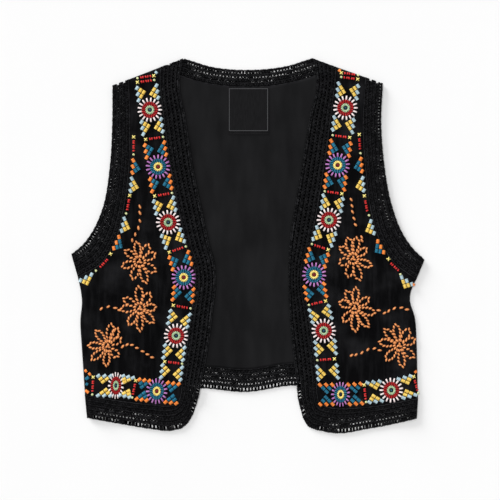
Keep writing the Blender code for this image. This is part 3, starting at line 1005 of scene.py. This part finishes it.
def front_holes(strip):
    # Open over the lining, close round the corner, and along the hem fewer holes row by row
    def holes(run, row_from_free):
        past_edge = soft_step((run - strip.place["corner start"]) / CORNER_BLEND)[:, None]
        past_corner = soft_step((run - strip.place["corner turn out"]) / CORNER_BLEND)[:, None]
        edge, corner, hem = (np.array(table[row_from_free])
                             for table in (EDGE_HOLES, CORNER_HOLES, HEM_HOLES))
        shares = edge * (1.0 - past_edge) + corner * past_edge * (1.0 - past_corner) + hem * past_corner
        from_corner = (run - strip.place["corner"]) / CORNER_CLOSED
        shares = shares * (1.0 - np.exp(-from_corner**4))[:, None]
        return shares * soft_step((strip.length - run) / HEM_CLOSED_END)[:, None]
    return holes


def make_shade_sheet_finish():
    # Near-black sheet: painted shade under the crochet's holes
    material, shader, place = start_material("painted_shade_sheet", 0.95, 0.0)
    weave = noise_of(place, 1800.0, 1.0)
    feed(shader, "Base Color", weave.blend((0.0004, 0.0004, 0.0004, 1), (0.0012, 0.0012, 0.0013, 1)))
    raise_relief(shader, weave, 0.0002, 0.5)
    return material


SHADE_SHEET_FINISH = make_shade_sheet_finish()
for side in SIDES:
    strip = front_strip[side]
    crochet_border("front_crochet_" + side, strip, BORDER_ROWS, dipping_ends(strip),
                   "front_border_" + side, front_holes(strip), seed=31)
    # The near-black painted shade sheet, under the open rows
    run = np.linspace(CLOSED_END, strip.place["corner start"], SHADE_SHEET_STEPS)[:, None]
    shade_sheet_plan = strip.at(run, SHADE_SHEET_ACROSS[None, :])
    shade_sheet_top = np.full(shade_sheet_plan.shape[:2], SHADE_SHEET_LOW + SHADE_SHEET_WALL)
    shade_sheet = add_sheet("border_shade_sheet_" + side, shade_sheet_plan, shade_sheet_top, SHADE_SHEET_WALL,
                       SHADE_SHEET_FINISH, "lining")

# Folk embroidery of the fronts
# Thick mercerised thread: leaning bars of satin-stitched blocks, rosettes, dashes, crosses and dots.
# Sewn by hand through the velvet down each front, along its hem and round its armhole.
BLOCK_LENGTH = 5.5
BLOCK_WIDTH = 4.1
BLOCK_PITCH = 6.35
BLOCK_THREADS = 5
BAR_SPACING = 8.3
BAND_LEAN = 51.0
HEM_LEAN = {"fire bars": 43.0, "sun bars": 53.0}
ARMHOLE_LEAN = 54.0
PAIR_HALF_WIDTH = 13.2
PAIR_FROM_ROSETTE = 23.0
LAST_DASH = {"right": 36.5, "left": 38.9}
SQUARE = math.pi / 2
DIAGONAL = math.pi / 4
THREAD_FOOT = 0.15
ARCH_PLACES = (-1.0, -0.72, 0.0, 0.72, 1.0)
ARCH_POWER = 3.4
SHOULDER_SHARE = 0.94
KNOT_STEPS = 8
PAD_DRIFT = 0.4
CAST_FROM = 0.05
NEAR_FROM = 0.005
PAD_PITCH = 3.25
PAD_LEANS = (0.25, -0.20, 0.30, -0.10, 0.20)

# Middle line of each band from the shoulder down: top, five rosettes, last bars
BAND_LINES = {
    "right": [(-137.7, 221.7), (-132.4, 182.0), (-121.2, 105.1), (-107.5, 30.2),
              (-86.7, -44.2), (-96.9, -122.9), (-103.2, -173.4)],
    "left": [(136.8, 225.8), (131.6, 184.7), (121.0, 107.3), (109.4, 33.3),
             (89.2, -40.4), (102.3, -116.2), (107.3, -173.1)],
}

# Motifs along each hem from the corner to the side: kind, middle x and y, squeeze along it, size
HEM_MOTIFS = {
    "right": [
        ("fire bars", -102.4, -200.3, 0.88, 1.0),
        ("violet rosette", -123.1, -197.7, 0.84, 1.05),
        ("fire bars", -141.6, -196.0, 0.82, 1.0),
        ("dash row", -153.6, -193.9, 1.0, 1.0),
        ("sun bars", -164.0, -191.4, 0.80, 1.0),
        ("red rosette", -178.2, -190.1, 0.59, 1.10),
        ("sun bars", -193.8, -190.4, 1.0, 1.0),
        ("dash row", -209.4, -189.6, 1.0, 1.0),
    ],
    "left": [
        ("fire bars", 105.7, -202.3, 1.0, 1.0),
        ("night rosette", 125.1, -202.0, 0.76, 1.02),
        ("fire bars", 144.7, -201.5, 1.0, 1.0),
        ("dash row", 158.0, -200.1, 1.0, 1.0),
        ("sun bars", 170.8, -198.5, 1.0, 1.0),
        ("red rosette", 193.5, -196.4, 0.95, 1.02),
        ("sun bars", 214.7, -192.0, 1.0, 1.0),
        ("dash row", 226.7, -188.7, 1.0, 1.0),
    ],
}

# Down each armhole: kind, and its run from the shoulder
ARMHOLE_MOTIFS = {
    "right": [
        ("cross", 78.0), ("dash", 89.5), ("dot", 101.5), ("fire bars", 117.5), ("sun bars", 142.0),
        ("cross", 156.5), ("dash", 168.5), ("dot", 181.0), ("sun bars", 196.5), ("fire bars", 221.5),
        ("cross", 238.3), ("dash", 253.0), ("dot", 267.0), ("sun bars", 282.8),
    ],
    "left": [
        ("cross", 77.5), ("dash", 89.5), ("dot", 102.5), ("fire bars", 118.5), ("sun bars", 144.5),
        ("cross", 160.0), ("dash", 173.0), ("dot", 186.5), ("sun bars", 203.0), ("fire bars", 231.0),
        ("cross", 250.0), ("dash", 262.5), ("dot", 274.5), ("sun bars", 286.4),
    ],
}
ARMHOLE_INSET = 5.6
LOW_ARMHOLE_INSET = 3.0
END_INSET = {"right": 3.0, "left": 6.4}
LOW_ARMHOLE = (160.0, 60.0)
ARMHOLE_END = (254.0, 34.0)

# Small marks of a dash row and of the shoulder: kind, steps back along the band and out across it
DASH_ROW = [("cross", 0, -10.9), ("dash", 0, 0.9), ("dot", 0, 12.4)]
SHOULDER_ROWS = [("dash", 6.0, 0), ("dot", 5.6, -11.2), ("cross", 5.8, 11.4),
                 ("dash", 0, 0), ("cross", 0, -11.6), ("dot", 0, 11.0)]

# Outer and inner thread of the bars
BAR_THREADS = {"sun bars": ("light_blue", "yellow"), "fire bars": ("orange", "teal")}

# Rays, ring, inner ring and heart of the rosettes
ROSETTE_THREADS = {
    "red rosette": ("white", "red", "green", "navy"),
    "violet rosette": ("violet", "teal", "sunlit", "wine"),
    "night rosette": ("violet", "teal", "sunlit", "navy"),
}

# Thread colours, shaded and lit parts as screen values, and the record's slot
THREADS = {
    "light_blue": ((158, 186, 196), (198, 220, 228), "thread_light_blue"),
    "yellow": ((232, 186, 70), (255, 226, 122), "thread_yellow"),
    "orange": ((238, 118, 38), (255, 160, 78), "thread_orange"),
    "teal": ((14, 88, 116), (34, 130, 160), "thread_teal"),
    "red": ((140, 6, 16), (206, 28, 34), "thread_red"),
    "white": ((236, 214, 214), (255, 248, 244), "thread_white"),
    "violet": ((152, 86, 160), (208, 146, 206), "thread_violet"),
    "green": ((150, 184, 142), (196, 220, 178), "thread_green"),
    "navy": ((6, 16, 30), (22, 48, 70), "thread_teal"),
    "sunlit": ((250, 214, 96), (255, 240, 150), "thread_yellow"),
    "wine": ((88, 6, 20), (140, 20, 34), "thread_red"),
    "cross_yellow": ((232, 206, 100), (255, 242, 150), "thread_yellow"),
    "dot_green": ((196, 204, 140), (226, 230, 176), "thread_green"),
    "dash_red": ((186, 22, 32), (236, 60, 54), "thread_red"),
}


def add_stitch(bm, length, radius, arch, at=(0.0, 0.0), turn=0.0, lift=0.0, tip=0.7):
    # One thread arched over the cloth, its two ends sunk in it
    path = []
    for t in ARCH_PLACES:
        x = t * length / 2
        path.append((at[0] + x * math.cos(turn), at[1] + x * math.sin(turn),
                     THREAD_FOOT + lift + arch * (1.0 - abs(t) ** ARCH_POWER)))
    radii = [radius * share for share in (tip, SHOULDER_SHARE, 1.0, SHOULDER_SHARE, tip)]
    draw_yarn(bm, path, radii, path_tangents(path), YARN_SIDES)


def threads_template(*threads):
    # Pattern piece of threads: length, radius and arch of each, and how it lies
    bm = bmesh.new()
    for length, radius, arch, lie in threads:
        add_stitch(bm, length, radius, arch, **lie)
    return take_template(bm)


def satin_template(length, width, threads, radius=0.60, arch=0.85):
    # Threads side by side along x, each laid across
    places = ((np.arange(threads) + 0.5) / threads - 0.5) * length
    return threads_template(*((width, radius, arch, {"at": (x, 0.0), "turn": SQUARE}) for x in places))


def knot_template(radius, yarn, turns, rise):
    # A thread wound round into a small knot
    bm = bmesh.new()
    path = []
    steps = round(turns * KNOT_STEPS)
    for k in range(steps + 1):
        angle = 2.0 * math.pi * k / KNOT_STEPS
        reach = radius * (1.0 - 0.75 * k / steps)
        path.append((reach * math.cos(angle), reach * math.sin(angle),
                     THREAD_FOOT + yarn * 0.6 + rise * k / steps))
    radii = [yarn * 0.6] + [yarn] * (steps - 1) + [yarn * 0.7]
    draw_yarn(bm, path, radii, path_tangents(path), YARN_SIDES)
    return take_template(bm)


BLOCK = satin_template(BLOCK_LENGTH, BLOCK_WIDTH, BLOCK_THREADS)
HALF_BLOCK = satin_template(3.3, BLOCK_WIDTH, 3)
PAD = satin_template(1.9, 3.0, 2, 0.52, 0.8)
CROSS = threads_template((5.4, 0.80, 0.8, {"turn": DIAGONAL}),
                         (5.4, 0.80, 0.8, {"turn": -DIAGONAL, "lift": 0.9}))
DOT = knot_template(1.35, 0.72, 1.5, 0.7)
HEART = knot_template(2.0, 0.72, 2.0, 0.2)
HEART_KNOT = knot_template(0.8, 0.55, 1.0, 1.0)
RAY = threads_template((5.5, 0.60, 0.75, {"at": (0.0, -0.50), "tip": 0.8}),
                       (5.5, 0.60, 0.75, {"at": (0.0, 0.50), "tip": 0.8}))
MARKS = {"cross": ("cross_yellow", CROSS), "dot": ("dot_green", DOT)}

# Rounds of a rosette: which of its threads, stitch, how many and how far out; the rays come first
ROSETTE_ROUNDS = [
    (0, RAY, 17, 13.7),
    (1, threads_template((2.9, 0.84, 0.7, {})), 24, 9.6),
    (1, threads_template((2.3, 0.70, 0.7, {})), 20, 7.3),
    (2, threads_template((3.0, 0.92, 0.7, {})), 15, 4.6),
]

# Blocks that the shoulder and side seams cut short: colour, stitches, x and y, direction in degrees
CUT_ENDS = {
    "right": [
        ("light_blue", HALF_BLOCK, -123.9, 232.4, 50.0),
        ("orange", HALF_BLOCK, -213.6, -174.6, 35.0),
        ("teal", BLOCK, -217.2, -180.2, 35.0),
        ("orange", HALF_BLOCK, -219.0, -170.4, 35.0),
        ("teal", HALF_BLOCK, -217.6, -188.3, -35.0),
        ("orange", BLOCK, -217.4, -198.2, -35.0),
    ],
    "left": [
        ("orange", HALF_BLOCK, 123.6, 235.4, -40.0),
        ("orange", HALF_BLOCK, 226.4, -171.6, -50.0),
        ("orange", HALF_BLOCK, 223.4, -53.8, 60.0),
    ],
}

sewn = {colour: [] for colour in THREADS}


def sew(colour, template, middle, heading, squeeze=None):
    # Lay one small pattern piece on the plan of the front, its x axis along the heading
    points, corners, counts = template
    heading = np.asarray(heading, float)
    plan = points[:, :1] * heading + points[:, 1:2] * quarter_turn(heading)
    if squeeze is not None:
        axis, share, size = squeeze
        plan += np.outer(plan @ axis, axis) * (share - 1.0)
        plan *= size
    placed = np.column_stack([np.asarray(middle) + plan, points[:, 2]])
    sewn[colour].append((placed, corners, counts))


def sew_bars(kind, middle, onward, outward, lean, sign=1.0, share=1.0):
    # Three leaning bars of one, two and three blocks; the outer blocks stand in a column
    outer, inner = BAR_THREADS[kind]
    way = math.copysign(1.0, lean)
    column = middle - outward * PAIR_HALF_WIDTH * sign
    reach = outward * math.cos(math.radians(lean)) + onward * math.sin(math.radians(lean))
    for bar in range(3):
        foot = column - onward * way * (1 - bar) * BAR_SPACING * share * sign
        for k in range(3 - bar):
            sew(inner if k else outer, BLOCK, foot + reach * sign * BLOCK_PITCH * k, reach)


def sew_pair(kind, middle, onward, outward, lean, share=1.0):
    # The same bars from both edges of the band
    for sign in (1.0, -1.0):
        sew_bars(kind, middle, onward, outward, lean, sign, share)


def sew_mark(kind, middle, heading, along):
    # A cross, a dot, or a dash of five small pads in a row, none quite straight
    if kind in MARKS:
        sew(*MARKS[kind], middle, heading)
        return
    for k, lean in enumerate(PAD_LEANS):
        pad_heading = along + quarter_turn(along) * lean
        place = middle + along * PAD_PITCH * (k - 2 + lean * PAD_DRIFT)
        sew("dash_red", PAD, place, pad_heading / np.linalg.norm(pad_heading))


def sew_marks(marks, middle, onward, outward):
    for kind, back, out in marks:
        sew_mark(kind, middle - onward * back + outward * out, onward, outward)


def sew_rosette(kind, middle, onward, share=1.0, size=1.0, start=0.0):
    *rounds, heart = ROSETTE_THREADS[kind]
    for which, template, count, radius in ROSETTE_ROUNDS:
        for k in range(count):
            heading = toward(360.0 * (k + (start if template is RAY else 0.0)) / count)
            away = heading * radius * size
            away = away + onward * (away @ onward) * (share - 1.0)
            sew(rounds[which], template, middle + away, heading, (onward, share, size))
    sew(heart, HEART, middle, onward, (onward, share, size))
    if kind == "red rosette":
        sew("teal", HEART_KNOT, middle, onward)


def turned(direction, side):
    # A quarter turn towards the front edge and the hem, on either front
    return quarter_turn(direction) * (1.0 if side == "right" else -1.0)


class Line:
    # A smooth line through points that gives the place and the direction at any run
    SAMPLES = 400

    def __init__(self, points):
        places = running_length(np.array(points, float))
        fine = np.linspace(0.0, places[-1], self.SAMPLES)
        self.points = smooth_curve(points, places, fine)
        self.run = running_length(self.points)
        self.marks = np.interp(places, fine, self.run)

    def at(self, run):
        first, middle, last = (read_along(self.run, self.points, run + step)
                               for step in (-1.0, 0.0, 1.0))
        onward = last - first
        return middle, onward / np.linalg.norm(onward)

    def at_end(self, run):
        # At a run that may be the very end
        return self.at(np.clip(run, 1.0, self.run[-1] - 1.0))


def sew_band(side):
    # From the shoulder down to the corner
    line = Line(BAND_LINES[side])
    rosettes = line.marks[1:-1]
    kinds = ["red rosette", "violet rosette"] * 3
    for k, run in enumerate(rosettes):
        middle, onward = line.at(run)
        sew_rosette(kinds[k], middle, onward, start=0.25 * k)
        bars = "sun bars" if kinds[k] == "red rosette" else "fire bars"
        for step in (-PAIR_FROM_ROSETTE, PAIR_FROM_ROSETTE):
            middle, onward = line.at(run + step)
            sew_pair(bars, middle, onward, turned(onward, side), -BAND_LEAN)
    for run in [*(rosettes[:-1] + rosettes[1:]) / 2, rosettes[-1] + LAST_DASH[side]]:
        middle, onward = line.at(run)
        sew_marks(DASH_ROW, middle, onward, turned(onward, side))
    middle, onward = line.at(line.marks[-1] - 1.0)
    sew_pair("sun bars", middle, onward, turned(onward, side), -BAND_LEAN)


def sew_hem(side):
    line = Line([motif[1:3] for motif in HEM_MOTIFS[side]])
    for (kind, x, y, share, size), run in zip(HEM_MOTIFS[side], line.marks):
        middle = np.array((x, y))
        onward = line.at_end(run)[1]
        if kind in BAR_THREADS:
            sew_pair(kind, middle, onward, turned(onward, side), HEM_LEAN[kind], share)
        elif kind in ROSETTE_THREADS:
            sew_rosette(kind, middle, onward, share, size, start=0.5)
        else:
            sew_marks(DASH_ROW, middle, onward, turned(onward, side))


def sew_armhole(side):
    # One-sided bars and single marks a little inside the armhole
    line = Line(outer_edge(side, BACK_GRID))
    for kind, run in ARMHOLE_MOTIFS[side]:
        edge, onward = line.at(run)
        inward = turned(onward, side)
        low, end = (soft_step((run - first) / length) for first, length in (LOW_ARMHOLE, ARMHOLE_END))
        inset = ARMHOLE_INSET * (1.0 - low) + LOW_ARMHOLE_INSET * low + END_INSET[side] * end
        middle = edge + inward * inset
        if kind in BAR_THREADS:
            sew_bars(kind, middle + inward * PAIR_HALF_WIDTH, onward, inward, ARMHOLE_LEAN)
        else:
            sew_mark(kind, middle, onward, onward)


def sew_shoulder(side):
    # Two dash rows at the shoulder seam, the upper one with its cross and its dot swapped
    middle, onward = Line(BAND_LINES[side]).at(1.0)
    sew_marks(SHOULDER_ROWS, middle, onward, turned(onward, side))


def on_velvet(side, points):
    # Heights of points above the table, laid on the velvet of a front
    surface = velvet_surface[side]
    placed = np.array(points)
    for k, (x, y, w) in enumerate(points):
        over = Vector(((x + CENTRING[0]) * MM, (y + CENTRING[1]) * MM, CAST_FROM))
        hit = surface.ray_cast(over, Vector((0.0, 0.0, -1.0)))[0]
        if hit is None:
            hit = surface.find_nearest(Vector((over.x, over.y, NEAR_FROM)))[0]
        placed[k, 2] = hit.z / MM + w
    return placed


def screen(red, green, blue):
    # Screen colour to a linear one
    return tuple((c / 255.0) ** 2.2 for c in (red, green, blue)) + (1.0,)


def make_thread_finish(name, shaded, lit):
    # Mercerised thread: smooth lustre, finely twisted, each stitch a little lighter or darker
    material, shader, place = start_material(name, 0.48, 0.35, 0.08, 0.4)
    patch = noise_of(place, 330.0).spread(0.3, 0.7)
    twist = noise_of(place, 2200.0, 1.0)
    shade = patch * 0.7 + twist * 0.3
    feed(shader, "Base Color", shade.blend(screen(*shaded), screen(*lit)))
    raise_relief(shader, twist, 0.0003, 0.6)
    return material


for side in SIDES:
    for work in sewn.values():
        work.clear()
    sew_shoulder(side)
    sew_band(side)
    sew_hem(side)
    sew_armhole(side)
    for colour, template, x, y, degrees in CUT_ENDS[side]:
        sew(colour, template, (x, y), toward(degrees))
    for colour, (shaded, lit, slot) in THREADS.items():
        parts = [(on_velvet(side, points), corners, counts)
                 for points, corners, counts in sewn[colour]]
        name = "stitches_" + colour + "_" + side
        finish = bpy.data.materials.get("thread_" + colour)
        if finish is None:
            finish = make_thread_finish("thread_" + colour, shaded, lit)
        add_piece(name, build_mesh(name, parts), finish, slot)

# Copper flowers and trails
# Flowers of eight open petals and short trails, in fat twisted copper-orange thread.
# Each petal is a loop of small oval stitches, sewn from the heart out to its point and back.
OVAL_SLANT = math.radians(14.0)
OVAL_PITCH = 4.85
PETAL_OVAL = (0.76, 0.93)
TRAIL_OVAL = (0.92, 1.00)
OVAL_UNEVEN = 0.08
HEART_DEGREES = (80, 200, 320)
HEART_REACH = 2.0
SPLIT = 4.6
POINT_GAP = 1.7
PETAL_WIDTH = (8.0, 9.8)
PETAL_BOW = ((0.0, 0.20), (0.25, 0.62), (0.58, 1.0), (0.82, 0.86), (0.96, 0.38))
FLOWER_SEED = 7

# Flowers: heart x and y, then each petal's direction in degrees and its length
FLOWERS = {
    "right": [
        (-146.2, -22.5,
         [(99, 28), (61, 27), (26, 25), (-33, 27), (-73, 32), (-112, 27), (196, 26), (142, 26)]),
        (-145.8, -85.9,
         [(93, 31), (56, 26), (4, 23), (-47, 28), (-90, 32), (-125, 28), (181, 27), (148, 27)]),
        (-188.9, -137.0,
         [(81, 32), (60, 29), (31, 22), (-46, 21), (-96, 28), (-141, 30), (177, 28), (127, 28)]),
    ],
    "left": [
        (142.0, -18.7,
         [(104, 30), (80, 30), (36, 24), (-22, 28), (-73, 32), (-106, 27), (199, 21), (138, 25)]),
        (143.7, -85.4,
         [(85, 29), (34, 25), (-14, 30), (-54, 33), (-88, 33), (-130, 25), (157, 23), (115, 27)]),
        (204.3, -135.8,
         [(100, 30), (59, 27), (20, 24), (-40, 27), (-81, 31), (-132, 28), (169, 29), (132, 31)]),
    ],
}

# Trails: middles of their ovals
TRAILS = {
    "right": [
        [(-145.8, 52.3), (-145.8, 42.9), (-145.8, 32.1), (-147.8, 22.6), (-152.1, 13.8), (-156.6, 5.1)],
        [(-198.9, -86.7), (-188.5, -83.6), (-179.0, -85.4), (-172.4, -88.8)],
        [(-170.0, -137.8), (-162.9, -134.8), (-156.5, -135.2), (-149.6, -139.2), (-142.0, -143.8),
         (-135.5, -147.9), (-128.5, -152.5)],
    ],
    "left": [
        [(139.1, 61.8), (140.4, 52.3), (141.1, 44.2), (143.1, 35.3), (145.3, 25.9)],
        [(153.4, 11.2), (153.9, 4.6)],
        [(175.5, -88.1), (184.3, -92.1), (189.9, -89.4), (197.5, -85.9), (207.1, -85.0),
         (215.6, -87.8)],
        [(138.8, -149.4), (145.8, -148.4), (153.6, -145.6), (161.6, -141.3), (170.5, -139.9),
         (178.6, -142.8)],
    ],
}

# A fat oval of three slanting threads
OVAL = threads_template((4.4, 0.68, 0.75, {"at": (-0.35, -0.98), "turn": OVAL_SLANT}),
                        (6.0, 0.78, 1.15, {"turn": OVAL_SLANT}),
                        (4.4, 0.68, 0.75, {"at": (0.35, 0.98), "turn": OVAL_SLANT}))


def lay_oval(middle, onward, size):
    # One oval stitch, a little uneven: middle, direction, and share of the full length and width
    uneven = [share * draw.uniform(1.0 - OVAL_UNEVEN, 1.0 + OVAL_UNEVEN) for share in size]
    copper.append((middle, onward, uneven))


def lay_petal(heart, degrees, length, width):
    # Ovals end to end along both sides, and one at the point
    along = toward(degrees)
    across = quarter_turn(along)
    lay_oval(heart + along * (length - POINT_GAP), along, PETAL_OVAL)
    side_length = length - SPLIT - POINT_GAP
    for swing in (-0.5, 0.5):
        side_line = Line([heart + along * (SPLIT + side_length * t) + across * swing * width * bow
                          for t, bow in PETAL_BOW])
        count = max(3, round(side_line.run[-1] / OVAL_PITCH))
        for k in range(count):
            middle, onward = side_line.at((k + 0.5) * side_line.run[-1] / count)
            lay_oval(middle, onward, PETAL_OVAL)


def make_copper_finish():
    # Fat twisted thread in copper orange, paler where it catches the light: painted highlight on the
    # tops and painted shade in the low parts, by the rise
    material, shader, place = start_material("copper_thread", 0.52, 0.35, 0.10, 0.4)
    patch = noise_of(place, 260.0).spread(0.3, 0.7)
    twist = noise_of(place, 2000.0, 1.0)
    painted_light_by_height = place.node("ShaderNodeAttribute", {"attribute_name": "rise"}, {}, output="Fac")
    shade = painted_light_by_height.spread(0.20, 0.95) * (patch * 0.35 + twist * 0.25 + 0.60)
    feed(shader, "Base Color", shade.blend(screen(130, 54, 18), screen(252, 168, 100)))
    raise_relief(shader, twist, 0.0003, 0.7)
    return material


draw = random.Random(FLOWER_SEED)
COPPER_FINISH = make_copper_finish()
for side in SIDES:
    copper = []
    for x, y, petals in FLOWERS[side]:
        heart = np.array((x, y))
        for degrees in HEART_DEGREES:
            lay_oval(heart + toward(degrees) * HEART_REACH, toward(degrees), PETAL_OVAL)
        for degrees, length in petals:
            lay_petal(heart, degrees, length, draw.uniform(*PETAL_WIDTH))
    for trail in TRAILS[side]:
        line = Line(trail)
        for mark in line.marks:
            lay_oval(*line.at_end(mark), TRAIL_OVAL)
    parts = []
    points, corners, counts = OVAL
    for middle, heading, (long_share, wide_share) in copper:
        across = quarter_turn(heading)
        plan = middle + points[:, :1] * heading * long_share + points[:, 1:2] * across * wide_share
        placed = on_velvet(side, np.column_stack([plan, points[:, 2] * wide_share]))
        parts.append((placed, corners, counts))
    name = "copper_flowers_" + side
    # How high each point stands in its oval, which the copper finish turns into painted shade and
    # painted highlight
    rise = np.tile(points[:, 2] / points[:, 2].max(), len(copper))
    add_piece(name, build_mesh(name, parts, rise=rise), COPPER_FINISH, "bead_stitch_copper")

# Table and light
# A smooth white table seen straight down, in wide soft daylight from the upper left.
FLOOR_SIZE = 8.0
ROOM_STRENGTH = 0.36
CAMERA_OVER = (0.0028, -0.0058, 2.204)
LENS = 117.3


def floor_mesh():
    bm = bmesh.new()
    bmesh.ops.create_grid(bm, x_segments=8, y_segments=8, size=FLOOR_SIZE / 2)
    return finish_mesh(bm, "table")


def make_floor_finish():
    # White paper-smooth table
    material, shader, place = start_material("white_table", 0.85, 0.15)
    mottle = noise_of(place, 6.0)
    feed(shader, "Base Color", mottle.blend((0.86, 0.86, 0.86, 1), (0.88, 0.88, 0.88, 1)))
    return material


table_top = place_object("table", floor_mesh())
table_top.data.materials.append(make_floor_finish())

world = bpy.data.worlds.new("soft_room")
world.use_nodes = True
background = world.node_tree.nodes["Background"]
background.inputs["Color"].default_value = (1.0, 1.0, 1.0, 1.0)
background.inputs["Strength"].default_value = ROOM_STRENGTH
bpy.context.scene.world = world


def add_window(name, strength, elevation, heading, spread):
    # A broad soft light, from the heading in degrees clockwise from the neck side of the table
    light = bpy.data.lights.new(name, "SUN")
    light.energy = strength
    light.angle = math.radians(spread)
    window = place_object(name, light)
    window.rotation_euler = (math.radians(90.0 - elevation), 0.0, math.radians(180.0 - heading))


add_window("side_window", 3.05, 15.0, -42.0, 26.0)
add_window("roof_window", 1.66, 80.0, -42.0, 40.0)

camera_data = bpy.data.cameras.new("camera")
camera_data.lens = LENS
camera_data.sensor_width = 36.0
camera = place_object("camera", camera_data)
camera.location = CAMERA_OVER
bpy.context.scene.camera = camera
bpy.context.scene.view_settings.view_transform = "Standard"
